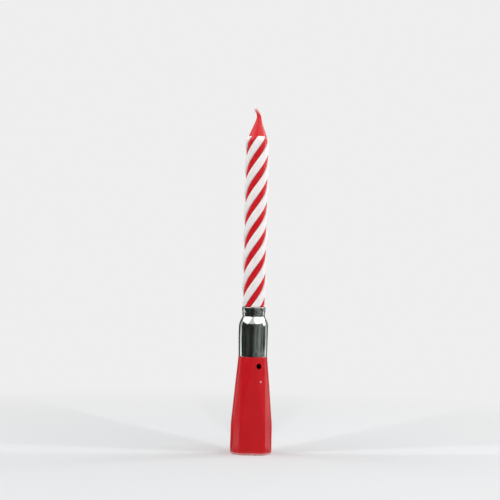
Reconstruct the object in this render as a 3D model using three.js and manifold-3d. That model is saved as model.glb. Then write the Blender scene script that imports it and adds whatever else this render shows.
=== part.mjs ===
// A musical birthday candle. A red wax candle with four white twisted stripes stands in a stepped
// metal ferrule on a hollow red base. A light guide beside the wick carries the flame's light down to
// a photodiode, which starts a melody circuit with two button cells and a disc sounder.
// The base's foot lid carries the circuit. The housing lifts off it, and the candle lifts out of the
// ferrule. Millimetres, +Z up, the front looks along -Y, and the origin is under the foot's centre.
import * as THREE from "three";
import { mergeVertices } from "three/addons/utils/BufferGeometryUtils.js";
import Module from "manifold-3d";

const wasm = await Module();
wasm.setup();

// Driving dimensions: fits
const clearance = 0.3;
const ferruleClearance = 0.2;
const stripeClearance = 0.1;

// Driving dimensions: button cells and their contacts
const cellRadius = 3.95;
const cellHeight = 3.6;
const cellButtonRadius = 3.1;
const cellButtonHeight = 0.45;
const cellEdge = 0.35;
const contactThickness = 0.3;
const contactWidth = 3;
const contactSag = 0.9;
const solderGap = 0.1;

// Driving dimensions: base
const housingWall = 1.1;
const cupWall = 0.8;
const cupGap = 0.45;
const cupDrop = 0.5;
const sideLean = THREE.MathUtils.degToRad(36);
const sideCornerRadius = 5.5;
const faceCornerRadius = 1.2;
const sharpestCorner = 0.2;
const lidThickness = 1.5;
const lidEdgeRound = 0.9;
const lugHeight = 3;
const lugWall = 0.9;
const lugRoom = 1;
const pryNotchWidth = 4;
const pryNotchDepth = 1.2;
const pryNotchHeight = 0.6;
const skirtTopZ = 12.3;
const skirtBlend = 2;
const housingTopZ = 40.5;
const soundHoleRadius = 1.2;
const soundHoleX = 2.37;
const soundHoleDrop = 3.75;
const gateMarkRadius = 0.85;
const gateMarkProud = 0.2;
const gateMarkX = 3.12;
const gateMarkDrop = 10.1;

// Driving dimensions: ferrule and the housing's neck inside it
const ferruleHeight = 20.6;
const ferruleWall = 0.35;
const collarHeight = 3.9;
const ferruleShoulder = 4.1;
const shoulderBow = 1.75;
const barrelSwell = 0.2;
const rimFlare = 0.22;
const neckWall = 1.1;
const socketDepth = 4.3;
const socketFloor = 1.2;

// Driving dimensions: candle
const coreRadius = 4.2;
const spigotStep = 0.1;
const stripeCount = 4;
const stripeHeight = 0.74;
const stripeShare = 0.57;
const stripeSquareness = 3.2;
const stripeEdgeShare = 0.12;
const stripeSeatShare = 0.94;
const stripeEndShare = 0.35;
const stripeLead = 39.4;
const stripePhaseZ = 119.94;
const twistLength = 68.6;
const shoulderRun = 2.9;
const coneHeight = 11.4;
const coneTipRadius = 0.88;
const coneBow = 1.6;
const coneSweep = 1.85;
const wickRadius = 0.5;
const wickEndRadius = 0.66;
const wickDipRun = 0.6;
const wickLean = 0.42;
const wickLeanDrop = 1.3;
const wickLeanBow = 2.2;
const wickOverhang = 1.4;
const wickRise = 2.35;
const wickBoreClearance = 0.2;
const wickFoot = 1.7;
const guideRadius = 0.375;
const guideOffset = 2.2;
const guideRise = 2.6;

// Driving dimensions: circuit board and what it carries
const boardThickness = 1;
const boardLift = 1.5;
const boardStepDown = 6.5;
const boardStepRun = 1.5;
const postRise = 16.5;
const postWall = 0.5;
const crossbarDrop = 4.5;
const crossbarHeight = 4;
const crossbarDepth = 2;
const screwRadius = 0.55;
const screwHeadRadius = 1.4;
const screwHeadHeight = 0.8;
const screwRecess = 0.4;
const screwRecessWidth = 0.34;
const diodeRadius = 1.5;
const diodeRimWidth = 0.2;
const diodeRimHeight = 0.8;
const diodeHeight = 4.5;
const diodeGap = 0.8;
const leadSide = 0.45;
const leadSpread = 0.9;
const leadFree = 2.2;
const leadOnBoard = 2.5;
const chipRadius = 2.6;
const chipHeight = 0.9;
const sounderDrop = 12.6;
const sounderRoom = 1.1;
const sounderThickness = 0.2;
const ceramicInset = 1.4;
const ceramicThickness = 0.25;
const padInset = 1.1;
const padWall = 1;
const padThickness = 1.2;
const wireRadius = 0.3;
const wireReach = 1.5;
const wirePadDrop = 2.6;
const wirePadSpread = 1.9;

// Worked-out dimensions: base
const cupRadius = cellRadius + clearance;
const cupOuterRadius = cupRadius + cupWall;
const footHalfWidth = cupOuterRadius + 2 * clearance + lugWall + lugRoom + housingWall;
const footHalfDepth = cupOuterRadius + cupGap + housingWall;
const spigotRadius = coreRadius - spigotStep;
const socketRadius = spigotRadius + clearance;
const neckRadius = socketRadius + neckWall;
const shoulderRadius = neckRadius + ferruleClearance + ferruleWall;

// Worked-out heights, from the foot up
const carrierFloorZ = lidThickness + cupWall;
const cellsZ = carrierFloorZ + contactThickness;
const cellsTopZ = cellsZ + 2 * cellHeight;
const boardBottomZ = cellsTopZ + boardLift;
const ferruleTopZ = housingTopZ + ferruleHeight;
const collarZ = ferruleTopZ - collarHeight;
const barrelTopZ = collarZ - ferruleShoulder;
const neckTopZ = barrelTopZ - ferruleClearance;
const socketZ = neckTopZ - socketDepth;
const diodeTopZ = socketZ - socketFloor - diodeGap;
const diodeZ = diodeTopZ - diodeHeight;
const boardTopZ = diodeZ - leadFree;
const spigotZ = socketZ + clearance;
const candleZ = ferruleTopZ + clearance;
const waxShoulderZ = candleZ + twistLength;
const coneTopZ = waxShoulderZ + coneHeight;
const sounderZ = housingTopZ - sounderDrop;

// Worked-out depths, from the light guide forward
const boardRearY = guideOffset - leadSide / 2;
const boardFrontY = boardRearY - boardThickness;
const postRearY = boardRearY + clearance + postWall;
const postFrontY = boardFrontY - clearance - postWall;
const padFrontY = boardFrontY - padThickness;
const sounderFrontY = padFrontY - sounderThickness;

const roundSides = 40;
const smallSides = 16;
const wickSides = 10;
const stripeStepsPerTurn = 26;
const outlineStep = THREE.MathUtils.degToRad(9);

// Finishes
const redPlastic = { color: 0xbd2028, roughness: 0.25, metalness: 0 };
const redWax = { color: 0xbb222a, roughness: 0.35, metalness: 0 };
const whiteWax = { color: 0xf3eded, roughness: 0.4, metalness: 0 };
const cotton = { color: 0xe8b9b6, roughness: 0.9, metalness: 0 };
const chrome = { color: 0xb9bab8, roughness: 0.12, metalness: 1 };
const steel = { color: 0xc2c4c6, roughness: 0.3, metalness: 1 };
const brass = { color: 0xc9a44c, roughness: 0.3, metalness: 1 };
const ceramicGrey = { color: 0xd8d2c4, roughness: 0.6, metalness: 0 };
const boardGreen = { color: 0x2f6a3c, roughness: 0.5, metalness: 0 };
const epoxyBlack = { color: 0x141416, roughness: 0.3, metalness: 0 };
const clearEpoxy = { color: 0xe6edf2, roughness: 0.1, metalness: 0 };
const foamWhite = { color: 0xe9e7de, roughness: 0.9, metalness: 0 };
const carrierWhite = { color: 0xe4e0d4, roughness: 0.5, metalness: 0 };
const wireRed = { color: 0xb5171c, roughness: 0.5, metalness: 0 };
const wireBlack = { color: 0x18181a, roughness: 0.5, metalness: 0 };
const partTan = { color: 0xc7b48c, roughness: 0.6, metalness: 0 };

function namedMesh(name, geometry, finish) {
  const mesh = new THREE.Mesh(geometry, new THREE.MeshStandardMaterial(finish));
  mesh.name = name;
  return mesh;
}

// A closed geometry as a solid that can be joined and cut.
function solidOf(geometry) {
  const loose = geometry.index ? geometry.toNonIndexed() : geometry.clone();
  loose.deleteAttribute("normal");
  loose.deleteAttribute("uv");
  const merged = mergeVertices(loose, 1e-4);
  const index = merged.index.array;
  const triangles = [];
  for (let i = 0; i < index.length; i += 3) {
    const [a, b, c] = index.slice(i, i + 3);
    if (a !== b && b !== c && c !== a) triangles.push(a, b, c);
  }
  const mesh = new wasm.Mesh({
    numProp: 3,
    vertProperties: merged.attributes.position.array,
    triVerts: new Uint32Array(triangles),
  });
  return new wasm.Manifold(mesh);
}

function geometryOf(solid) {
  const mesh = solid.getMesh();
  const geometry = new THREE.BufferGeometry();
  geometry.setAttribute("position", new THREE.BufferAttribute(mesh.vertProperties, mesh.numProp));
  geometry.setIndex(new THREE.BufferAttribute(mesh.triVerts, 1));
  geometry.computeVertexNormals();
  return geometry;
}

// Rings of equal count, bottom first and anticlockwise from above, skinned into a closed body.
function loft(rings) {
  const count = rings[0].length;
  const positions = [];
  const index = [];
  for (const ring of rings) for (const p of ring) positions.push(p.x, p.y, p.z);
  for (let level = 0; level < rings.length - 1; level += 1) {
    for (let i = 0; i < count; i += 1) {
      const a = level * count + i;
      const b = level * count + ((i + 1) % count);
      index.push(a, b, b + count, a, b + count, a + count);
    }
  }
  const cap = (ring, first, upward) => {
    const flat = ring.map((p) => new THREE.Vector2(p.x, p.y));
    for (const [a, b, c] of THREE.ShapeUtils.triangulateShape(flat, [])) {
      index.push(first + a, first + (upward ? b : c), first + (upward ? c : b));
    }
  };
  cap(rings[0], 0, false);
  cap(rings.at(-1), (rings.length - 1) * count, true);
  const geometry = new THREE.BufferGeometry();
  geometry.setAttribute("position", new THREE.Float32BufferAttribute(positions, 3));
  geometry.setIndex(index);
  return geometry;
}

// A round ring of points at height z.
function ringAt(z, radius, sides, x = 0) {
  return Array.from({ length: sides }, (_, i) => {
    const angle = (2 * Math.PI * i) / sides;
    return new THREE.Vector3(x + radius * Math.cos(angle), radius * Math.sin(angle), z);
  });
}

// A body turned about Z, from a profile of [radius, height] points that starts and ends on the axis.
function turned(profile, sides = roundSides) {
  const points = profile.map(([r, z]) => new THREE.Vector2(r, z));
  return new THREE.LatheGeometry(points, sides).rotateX(Math.PI / 2);
}

function cylinder(radius, bottom, top, sides = smallSides, x = 0, y = 0) {
  const length = top - bottom;
  const geometry = new THREE.CylinderGeometry(radius, radius, length, sides).rotateX(Math.PI / 2);
  return geometry.translate(x, y, bottom + length / 2);
}

// A box given by its lowest and highest corners.
function block(x0, y0, z0, x1, y1, z1) {
  const geometry = new THREE.BoxGeometry(x1 - x0, y1 - y0, z1 - z0);
  return geometry.translate((x0 + x1) / 2, (y0 + y1) / 2, (z0 + z1) / 2);
}

// A round tube along a curve.
function tube(curve, radius, steps, sides) {
  const section = new THREE.Shape(new THREE.EllipseCurve(0, 0, radius, radius).getPoints(sides));
  return new THREE.ExtrudeGeometry(section, { steps, extrudePath: curve, curveSegments: sides });
}

// The foot's outline is a hexagon with a flat front and back, and sides that lean out to a soft ridge
// at the middle. It is drawn inset from the outer faces. Each point keeps the direction that it faces,
// and a tight corner has fewer points than a wide one.
function footOutline(inset) {
  const sideDistance = (footHalfWidth - sideCornerRadius) * Math.cos(sideLean) + sideCornerRadius;
  const faces = [
    [sideLean, sideDistance, faceCornerRadius],
    [Math.PI / 2, footHalfDepth, faceCornerRadius],
    [Math.PI - sideLean, sideDistance, sideCornerRadius],
    [Math.PI + sideLean, sideDistance, faceCornerRadius],
    [1.5 * Math.PI, footHalfDepth, faceCornerRadius],
    [2 * Math.PI - sideLean, sideDistance, sideCornerRadius],
    [2 * Math.PI + sideLean, sideDistance],
  ];
  return faces.slice(0, -1).flatMap(([from, fromDistance, cornerRadius], i) => {
    const [to, toDistance] = faces[i + 1];
    const radius = Math.max(cornerRadius - inset, sharpestCorner);
    const near = fromDistance - inset - radius;
    const far = toDistance - inset - radius;
    const spread = Math.sin(to - from);
    const x = (near * Math.sin(to) - far * Math.sin(from)) / spread;
    const y = (far * Math.cos(from) - near * Math.cos(to)) / spread;
    const fineness = Math.sqrt(cornerRadius / Math.max(sideCornerRadius, faceCornerRadius));
    const steps = Math.max(1, Math.ceil(((to - from) / outlineStep) * fineness));
    return Array.from({ length: steps + 1 }, (_, step) => {
      const facing = from + ((to - from) * step) / steps;
      return { facing, x: x + radius * Math.cos(facing), y: y + radius * Math.sin(facing) };
    });
  });
}

// How far the section at height z has gone from the shoulder's circle, 0, to the foot's outline, 1.
function footShare(z) {
  const share = (housingTopZ - z) / (housingTopZ - skirtTopZ);
  const soft = skirtBlend / (housingTopZ - skirtTopZ);
  if (share < 1 - soft) return Math.max(0, share);
  if (share > 1 + soft) return 1;
  return 1 - (1 + soft - share) ** 2 / (4 * soft);
}

// The base's section at height z, inset from its outer face and drawn at another height if need be.
function baseRing(z, inset, drawnZ = z) {
  const share = footShare(z);
  const round = (shoulderRadius - inset) * (1 - share);
  return footOutline(inset).map(({ facing, x, y }) => {
    return new THREE.Vector3(
      round * Math.cos(facing) + x * share,
      round * Math.sin(facing) + y * share,
      drawnZ,
    );
  });
}

// A circle with as many points as the base's rings, so that both can be skinned together.
function matchingCircle(z, radius) {
  return footOutline(0).map(({ facing }) => {
    return new THREE.Vector3(radius * Math.cos(facing), radius * Math.sin(facing), z);
  });
}

const housingLevels = [
  lidThickness,
  skirtTopZ - skirtBlend,
  skirtTopZ - skirtBlend / 2,
  skirtTopZ,
  skirtTopZ + skirtBlend / 2,
  skirtTopZ + skirtBlend,
  skirtTopZ + (housingTopZ - skirtTopZ) / 3,
  skirtTopZ + ((housingTopZ - skirtTopZ) * 2) / 3,
];

function makeHousing() {
  const cavityTopZ = housingTopZ - housingWall;
  const outside = loft([
    ...housingLevels.map((z) => baseRing(z, 0)),
    matchingCircle(housingTopZ, shoulderRadius),
    matchingCircle(housingTopZ, neckRadius),
    matchingCircle(neckTopZ, neckRadius),
  ]);
  const inside = loft([
    baseRing(lidThickness, housingWall, 0),
    ...housingLevels.slice(1).map((z) => baseRing(z, housingWall)),
    baseRing(cavityTopZ, housingWall),
    matchingCircle(housingTopZ, socketRadius),
    matchingCircle(socketZ - socketFloor, socketRadius),
  ]);
  const socket = cylinder(socketRadius, socketZ, neckTopZ + clearance, roundSides);
  const guideHole = cylinder(guideRadius + clearance, diodeTopZ, socketZ + 1, smallSides, 0, guideOffset);
  const holeLength = 4 * housingWall;
  const soundHole = new THREE.CylinderGeometry(soundHoleRadius, soundHoleRadius, holeLength, 20);
  placeOnFront(soundHole, soundHoleX, housingTopZ - soundHoleDrop);
  const shell = solidOf(outside)
    .subtract(solidOf(inside))
    .subtract(solidOf(socket))
    .subtract(solidOf(guideHole))
    .subtract(solidOf(soundHole));
  return namedMesh("housing", geometryOf(shell.add(gateMark())), redPlastic);
}

// A low round pip where the moulding was filled, on the front face.
function gateMark() {
  const pip = new THREE.SphereGeometry(gateMarkRadius, 16, 8);
  pip.scale(1, gateMarkProud / gateMarkRadius, 1);
  placeOnFront(pip, gateMarkX, housingTopZ - gateMarkDrop);
  return solidOf(pip);
}

// Puts a geometry's centre on the base's front face at x and z, with its own Y axis square to it.
function placeOnFront(geometry, x, z) {
  const facingOf = footOutline(0).map(({ facing }) => facing);
  const front = baseRing(z, 0)
    .map((point, i) => ({ point, facing: facingOf[i] }))
    .filter(({ point }) => point.y < 0);
  const after = front.findIndex(({ point }) => point.x >= x);
  const [a, b] = [front[after - 1], front[after]];
  const share = THREE.MathUtils.inverseLerp(a.point.x, b.point.x, x);
  const facing = THREE.MathUtils.lerp(a.facing, b.facing, share);
  geometry.rotateZ(facing - Math.PI / 2);
  geometry.translate(x, THREE.MathUtils.lerp(a.point.y, b.point.y, share), z);
}

// The ferrule's profile, up the outside and down the inside: barrel, shoulder, collar and rolled rim.
function makeFerrule() {
  const shoulderSteps = 7;
  const collarRadius = socketRadius + ferruleWall;
  const barrelRadius = shoulderRadius + barrelSwell;
  const shoulderProfile = (inset) => {
    return Array.from({ length: shoulderSteps + 1 }, (_, i) => {
      const share = i / shoulderSteps;
      const radius = collarRadius + (barrelRadius - collarRadius) * (1 - share ** shoulderBow);
      return [radius - inset, barrelTopZ + (ferruleShoulder - inset) * share];
    });
  };
  const outer = [
    [shoulderRadius, housingTopZ],
    ...shoulderProfile(0),
    [collarRadius, collarZ + collarHeight * 0.35],
    [collarRadius + rimFlare * 0.8, collarZ + collarHeight * 0.7],
    [collarRadius + rimFlare, ferruleTopZ - rimFlare],
    [collarRadius + rimFlare / 2, ferruleTopZ],
  ];
  const inner = [
    [socketRadius, ferruleTopZ],
    ...shoulderProfile(ferruleWall).reverse(),
    [shoulderRadius - ferruleWall, housingTopZ],
  ];
  return namedMesh("ferrule", turned([...outer, ...inner, outer[0]]), chrome);
}

// How far right the wick and the wax cone are at height z. They lean out as a power of the rise, up
// to a height below the cone's top, and from there the wick bends to the left as a parabola.
function wickCentreAt(z) {
  const leanZ = coneTopZ - wickLeanDrop;
  if (z <= waxShoulderZ) return 0;
  if (z < leanZ) return wickLean * ((z - waxShoulderZ) / (leanZ - waxShoulderZ)) ** wickLeanBow;
  return wickLean - (wickLean + wickOverhang) * ((z - leanZ) / (wickRise + wickLeanDrop)) ** 2;
}

// The wick's heights: its foot, even steps up the cone, then steps that close up towards its end.
const wickHeights = [candleZ + wickFoot];
const coneSteps = 9;
const bendSteps = 12;
for (let i = 0; i < coneSteps; i += 1) {
  wickHeights.push(waxShoulderZ + ((coneHeight - wickLeanDrop) * i) / coneSteps);
}
for (let i = 0; i <= bendSteps; i += 1) {
  const share = Math.sin((Math.PI / 2) * (i / bendSteps));
  wickHeights.push(coneTopZ - wickLeanDrop + (wickRise + wickLeanDrop) * share);
}

// A round body swept along the wick's path, which lies in the XZ plane.
function alongWick(radiusAt) {
  const line = wickHeights.map((z) => new THREE.Vector3(wickCentreAt(z), 0, z));
  return loft(
    line.map((p, i) => {
      const before = line[Math.max(0, i - 1)];
      const after = line[Math.min(line.length - 1, i + 1)];
      const along = after.clone().sub(before).normalize();
      const radius = radiusAt(p.z);
      return Array.from({ length: wickSides }, (_, side) => {
        const angle = (2 * Math.PI * side) / wickSides;
        const across = radius * Math.cos(angle);
        return new THREE.Vector3(
          p.x + across * along.z,
          radius * Math.sin(angle),
          p.z - across * along.x,
        );
      });
    }),
  );
}

// The wax's radius at a height above its shoulder: full, then a rounded shoulder and a drawn-in cone.
function coneRadius(rise) {
  const share = Math.min(1, Math.max(0, rise / coneHeight));
  return coneTipRadius + (coreRadius - coneTipRadius) * (1 - share ** coneBow) ** coneSweep;
}

function makeWaxCore() {
  const coneLevels = 14;
  const boreRadius = wickRadius + wickBoreClearance;
  const boreTopZ = coneTopZ + clearance;
  const outside = [
    ringAt(spigotZ, spigotRadius, roundSides),
    ringAt(candleZ, spigotRadius, roundSides),
    ringAt(candleZ, coreRadius, roundSides),
  ];
  const bore = [ringAt(candleZ + wickFoot - clearance, boreRadius, wickSides)];
  for (let i = 0; i <= coneLevels; i += 1) {
    const rise = (coneHeight * i) / coneLevels;
    const z = waxShoulderZ + rise;
    outside.push(ringAt(z, coneRadius(rise), roundSides, wickCentreAt(z)));
    if (i < coneLevels) bore.push(ringAt(z, boreRadius, wickSides, wickCentreAt(z)));
  }
  bore.push(ringAt(boreTopZ, boreRadius, wickSides, wickCentreAt(boreTopZ)));
  const guideBore = cylinder(
    guideRadius + clearance,
    spigotZ - 1,
    waxShoulderZ + guideRise + clearance,
    smallSides,
    0,
    guideOffset,
  );
  const wax = solidOf(loft(outside)).subtract(solidOf(loft(bore))).subtract(solidOf(guideBore));
  return namedMesh("wax_core", geometryOf(wax), redWax);
}

// One stripe is a low rounded rib that winds up the core. It thins out over the wax's shoulder.
function makeStripe(number) {
  const halfAngle = (Math.PI * stripeShare) / stripeCount;
  const outerPoints = 7;
  const innerPoints = 3;
  const riseSteps = Math.round((twistLength / stripeLead) * stripeStepsPerTurn);
  const startAngle = -Math.PI / 2 + (2 * Math.PI * number) / stripeCount;
  const sectionAt = (z, height, width) => {
    const middle = startAngle + (2 * Math.PI * (z - stripePhaseZ)) / stripeLead;
    const rise = z - waxShoulderZ;
    const seat = coneRadius(rise) + stripeClearance;
    const at = (across, radius) => {
      const angle = middle + across * halfAngle * width;
      return new THREE.Vector3(wickCentreAt(z) + radius * Math.cos(angle), radius * Math.sin(angle), z);
    };
    const outer = Array.from({ length: outerPoints }, (_, i) => {
      const across = -Math.cos((Math.PI * i) / (outerPoints - 1));
      const crown = Math.sqrt(1 - Math.abs(across) ** stripeSquareness);
      return at(across, seat + (height - stripeClearance) * Math.max(crown, stripeEdgeShare));
    });
    const inner = Array.from({ length: innerPoints }, (_, i) => {
      return at(stripeSeatShare * (1 - (2 * i) / (innerPoints - 1)), seat);
    });
    return [...outer, ...inner];
  };
  const rings = [];
  for (let i = 0; i <= riseSteps; i += 1) {
    rings.push(sectionAt(candleZ + (twistLength * i) / riseSteps, stripeHeight, 1));
  }
  const endSteps = 5;
  const lastShare = 0.94;
  for (let i = 1; i <= endSteps; i += 1) {
    const share = (lastShare * i) / endSteps;
    const fade = Math.sqrt(1 - share ** 2);
    const width = THREE.MathUtils.lerp(stripeEndShare, 1, fade);
    rings.push(sectionAt(waxShoulderZ + shoulderRun * share, stripeHeight * fade, width));
  }
  return namedMesh("white_stripe_" + (number + 1), loft(rings), whiteWax);
}

// The wick's free end is thicker, because it is dipped in wax.
function makeWick() {
  const radiusAt = (z) => {
    return THREE.MathUtils.mapLinear(
      Math.min(Math.max(z, coneTopZ), coneTopZ + wickDipRun),
      coneTopZ,
      coneTopZ + wickDipRun,
      wickRadius,
      wickEndRadius,
    );
  };
  return namedMesh("wick", alongWick(radiusAt), cotton);
}

function makeLightGuide() {
  const guide = cylinder(
    guideRadius,
    diodeTopZ + diodeGap / 2,
    waxShoulderZ + guideRise,
    12,
    0,
    guideOffset,
  );
  return namedMesh("light_guide", guide, clearEpoxy);
}

// The lid is the foot's plate, with two curved lugs that plug into the ends of the housing.
function makeFootLid() {
  const edgeSteps = 4;
  const rings = [];
  for (let i = 0; i <= edgeSteps; i += 1) {
    const turn = (Math.PI / 2) * (i / edgeSteps);
    const inset = lidEdgeRound * (1 - Math.sin(turn));
    const z = lidEdgeRound * (1 - Math.cos(turn));
    rings.push(baseRing(lidThickness, inset, z));
  }
  rings.push(baseRing(lidThickness, 0));
  const lugTopZ = lidThickness + lugHeight;
  const lugBody = (inset) => {
    const lower = baseRing(lidThickness, housingWall + inset, lidThickness - 0.2);
    return solidOf(loft([lower, baseRing(lidThickness, housingWall + inset, lugTopZ)]));
  };
  const reach = footHalfWidth;
  const cupRoom = cupOuterRadius + clearance;
  const middle = block(-cupRoom, -reach, 0, cupRoom, reach, lugTopZ + 1);
  const lugs = lugBody(clearance)
    .subtract(lugBody(clearance + lugWall))
    .subtract(solidOf(middle));
  const notch = block(
    -pryNotchWidth / 2,
    footHalfDepth - pryNotchDepth,
    lidThickness - pryNotchHeight,
    pryNotchWidth / 2,
    footHalfDepth + 1,
    lidThickness + 1,
  );
  const lid = solidOf(loft(rings)).add(lugs).subtract(solidOf(notch));
  return namedMesh("foot_lid", geometryOf(lid), redPlastic);
}

// How far right the base's section at height z reaches at depth y, inset from its outer face.
function reachAt(z, inset, y) {
  const right = baseRing(z, inset)
    .filter((p) => p.x > 0)
    .sort((a, b) => a.y - b.y);
  const after = right.findIndex((p) => p.y >= y);
  const [a, b] = [right[after - 1], right[after]];
  return THREE.MathUtils.mapLinear(y, a.y, b.y, a.x, b.x);
}

// The board is as wide as the posts allow, and the posts reach out to the housing's cavity.
const postTopZ = cellsTopZ + postRise;
const postHalfWidth = reachAt(postTopZ, housingWall + clearance, postRearY);
const boardHalfWidth = postHalfWidth - postWall - clearance;
const boardTopHalfWidth = Math.sqrt((socketRadius - clearance) ** 2 - boardRearY ** 2);
const screwZ = boardBottomZ + crossbarDrop;

// The sounder's disc fills the cavity at its height, apart from the room left round it.
const sounderRadius = Math.max(...baseRing(sounderZ, housingWall + sounderRoom).map((p) => p.x));
const ceramicRadius = sounderRadius - ceramicInset;
const padRadius = sounderRadius - padInset;

// The small parts sit on the board's rear below its narrow top, each with its top a drop below that
// step. A size is a width, a height and a depth.
const smallPartsTopZ = boardTopZ - boardStepDown;
const smallParts = [
  { name: "transistor", x: 1.5, drop: 0.5, size: [1.3, 2.9, 1], finish: epoxyBlack },
  { name: "resistor", x: -1.6, drop: 2.2, size: [2, 1.2, 0.5], finish: epoxyBlack },
  { name: "capacitor", x: -1.6, drop: 0, size: [2, 1.2, 0.8], finish: partTan },
];
const smallPartsZ = smallPartsTopZ - Math.max(...smallParts.map(({ drop, size }) => drop + size[1]));

// The carrier has the cells' cup, two slotted posts for the board and a crossbar for its screw.
function makeCarrier() {
  const cupTopZ = cellsTopZ - cupDrop;
  const grip = clearance + postWall;
  const bar = block(
    -postHalfWidth + postWall,
    boardFrontY - clearance - crossbarDepth,
    screwZ - crossbarHeight / 2,
    postHalfWidth - postWall,
    boardFrontY - clearance,
    screwZ + crossbarHeight / 2,
  );
  const pilotRadius = screwRadius + clearance;
  const pilotLength = 2 * (crossbarDepth + boardThickness + clearance);
  const pilot = new THREE.CylinderGeometry(pilotRadius, pilotRadius, pilotLength, smallSides);
  pilot.translate(0, boardFrontY, screwZ);
  let carrier = solidOf(cylinder(cupOuterRadius, lidThickness, cupTopZ, roundSides));
  for (const side of [-1, 1]) {
    const inner = side * (boardHalfWidth - grip);
    const outer = side * postHalfWidth;
    const post = block(
      Math.min(inner, outer),
      postFrontY,
      lidThickness + cupWall,
      Math.max(inner, outer),
      postRearY,
      postTopZ,
    );
    carrier = carrier.add(solidOf(post));
  }
  const slot = block(
    -boardHalfWidth - clearance,
    boardFrontY - clearance,
    boardBottomZ - clearance,
    boardHalfWidth + clearance,
    boardRearY + clearance,
    postTopZ + 1,
  );
  const well = cylinder(cupRadius, carrierFloorZ, postTopZ, roundSides);
  const contactSlot = block(
    -contactWidth / 2 - clearance,
    -cupOuterRadius - 1,
    carrierFloorZ,
    contactWidth / 2 + clearance,
    -cupRadius + 1,
    postTopZ,
  );
  carrier = carrier
    .subtract(solidOf(well))
    .add(solidOf(bar))
    .subtract(solidOf(slot))
    .subtract(solidOf(contactSlot))
    .subtract(solidOf(pilot));
  return namedMesh("carrier", geometryOf(carrier), carrierWhite);
}

// A button cell stands on its smaller, negative side.
function makeCell(name, z) {
  const cell = turned([
    [0, 0],
    [cellButtonRadius, 0],
    [cellButtonRadius, cellButtonHeight],
    [cellRadius - cellEdge, cellButtonHeight],
    [cellRadius, cellButtonHeight + cellEdge],
    [cellRadius, cellHeight - cellEdge / 2],
    [cellRadius - cellEdge / 2, cellHeight],
    [0, cellHeight],
  ]);
  const mesh = namedMesh(name, cell, steel);
  mesh.position.z = z;
  return mesh;
}

// A strip of sheet metal bent along a path of [y, z] points, with its width along X.
function bentStrip(path, width) {
  const half = contactThickness / 2;
  const points = path.map(([y, z]) => new THREE.Vector2(y, z));
  const left = [];
  const right = [];
  points.forEach((p, i) => {
    const before = points[Math.max(0, i - 1)];
    const after = points[Math.min(points.length - 1, i + 1)];
    const into = p.clone().sub(before).normalize();
    const out = after.clone().sub(p).normalize();
    const along = into.clone().add(out).normalize();
    const reach = half / Math.max(0.3, along.dot(i === 0 ? out : into));
    const across = new THREE.Vector2(-along.y, along.x).multiplyScalar(reach);
    left.push(p.clone().add(across));
    right.unshift(p.clone().sub(across));
  });
  const outline = new THREE.Shape([...left, ...right]);
  const strip = new THREE.ExtrudeGeometry(outline, { depth: width, bevelEnabled: false });
  // The extrusion runs along local Z; turn it so that the outline's x is Y and its y is Z.
  const turn = new THREE.Matrix4().makeBasis(
    new THREE.Vector3(0, 1, 0),
    new THREE.Vector3(0, 0, 1),
    new THREE.Vector3(1, 0, 0),
  );
  return strip.applyMatrix4(turn).translate(-width / 2, 0, 0);
}

// The lower contact lies under the cells, rises in the cup's slot and reaches back to the board.
function makeLowerContact() {
  const half = contactThickness / 2;
  const riserY = -cupRadius - cupWall / 2;
  const bridgeZ = boardBottomZ + half + clearance;
  const strip = bentStrip(
    [
      [cellButtonRadius, carrierFloorZ + half],
      [riserY, carrierFloorZ + half],
      [riserY, bridgeZ],
      [boardFrontY - half, bridgeZ],
      [boardFrontY - half, bridgeZ + contactWidth / 2],
    ],
    contactWidth,
  );
  return namedMesh("contact_lower", strip, brass);
}

// The upper contact springs down from the board onto the top cell.
function makeUpperContact() {
  const half = contactThickness / 2;
  const touchZ = cellsTopZ + half + solderGap;
  const strip = bentStrip(
    [
      [boardRearY + half, boardBottomZ + contactWidth / 2],
      [boardRearY + half, touchZ + contactSag],
      [boardFrontY, touchZ + contactSag * 0.3],
      [-cellButtonRadius * 0.2, touchZ],
      [-cellButtonRadius * 0.5, touchZ + contactSag * 0.2],
      [-cellButtonRadius * 0.8, touchZ + contactSag * 0.7],
    ],
    contactWidth * 0.8,
  );
  return namedMesh("contact_upper", strip, brass);
}

function makeBoard() {
  const low = boardHalfWidth;
  const high = boardTopHalfWidth;
  const stepZ = boardTopZ - boardStepDown;
  const outline = new THREE.Shape([
    new THREE.Vector2(-low, boardBottomZ),
    new THREE.Vector2(low, boardBottomZ),
    new THREE.Vector2(low, stepZ - boardStepRun),
    new THREE.Vector2(high, stepZ),
    new THREE.Vector2(high, boardTopZ),
    new THREE.Vector2(-high, boardTopZ),
    new THREE.Vector2(-high, stepZ),
    new THREE.Vector2(-low, stepZ - boardStepRun),
  ]);
  const hole = new THREE.Path();
  hole.absarc(0, screwZ, screwRadius + clearance, 0, 2 * Math.PI, true);
  outline.holes.push(hole);
  const board = new THREE.ExtrudeGeometry(outline, {
    depth: boardThickness,
    bevelEnabled: false,
    curveSegments: 10,
  });
  board.rotateX(Math.PI / 2).translate(0, boardRearY, 0);
  return namedMesh("circuit_board", board, boardGreen);
}

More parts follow.
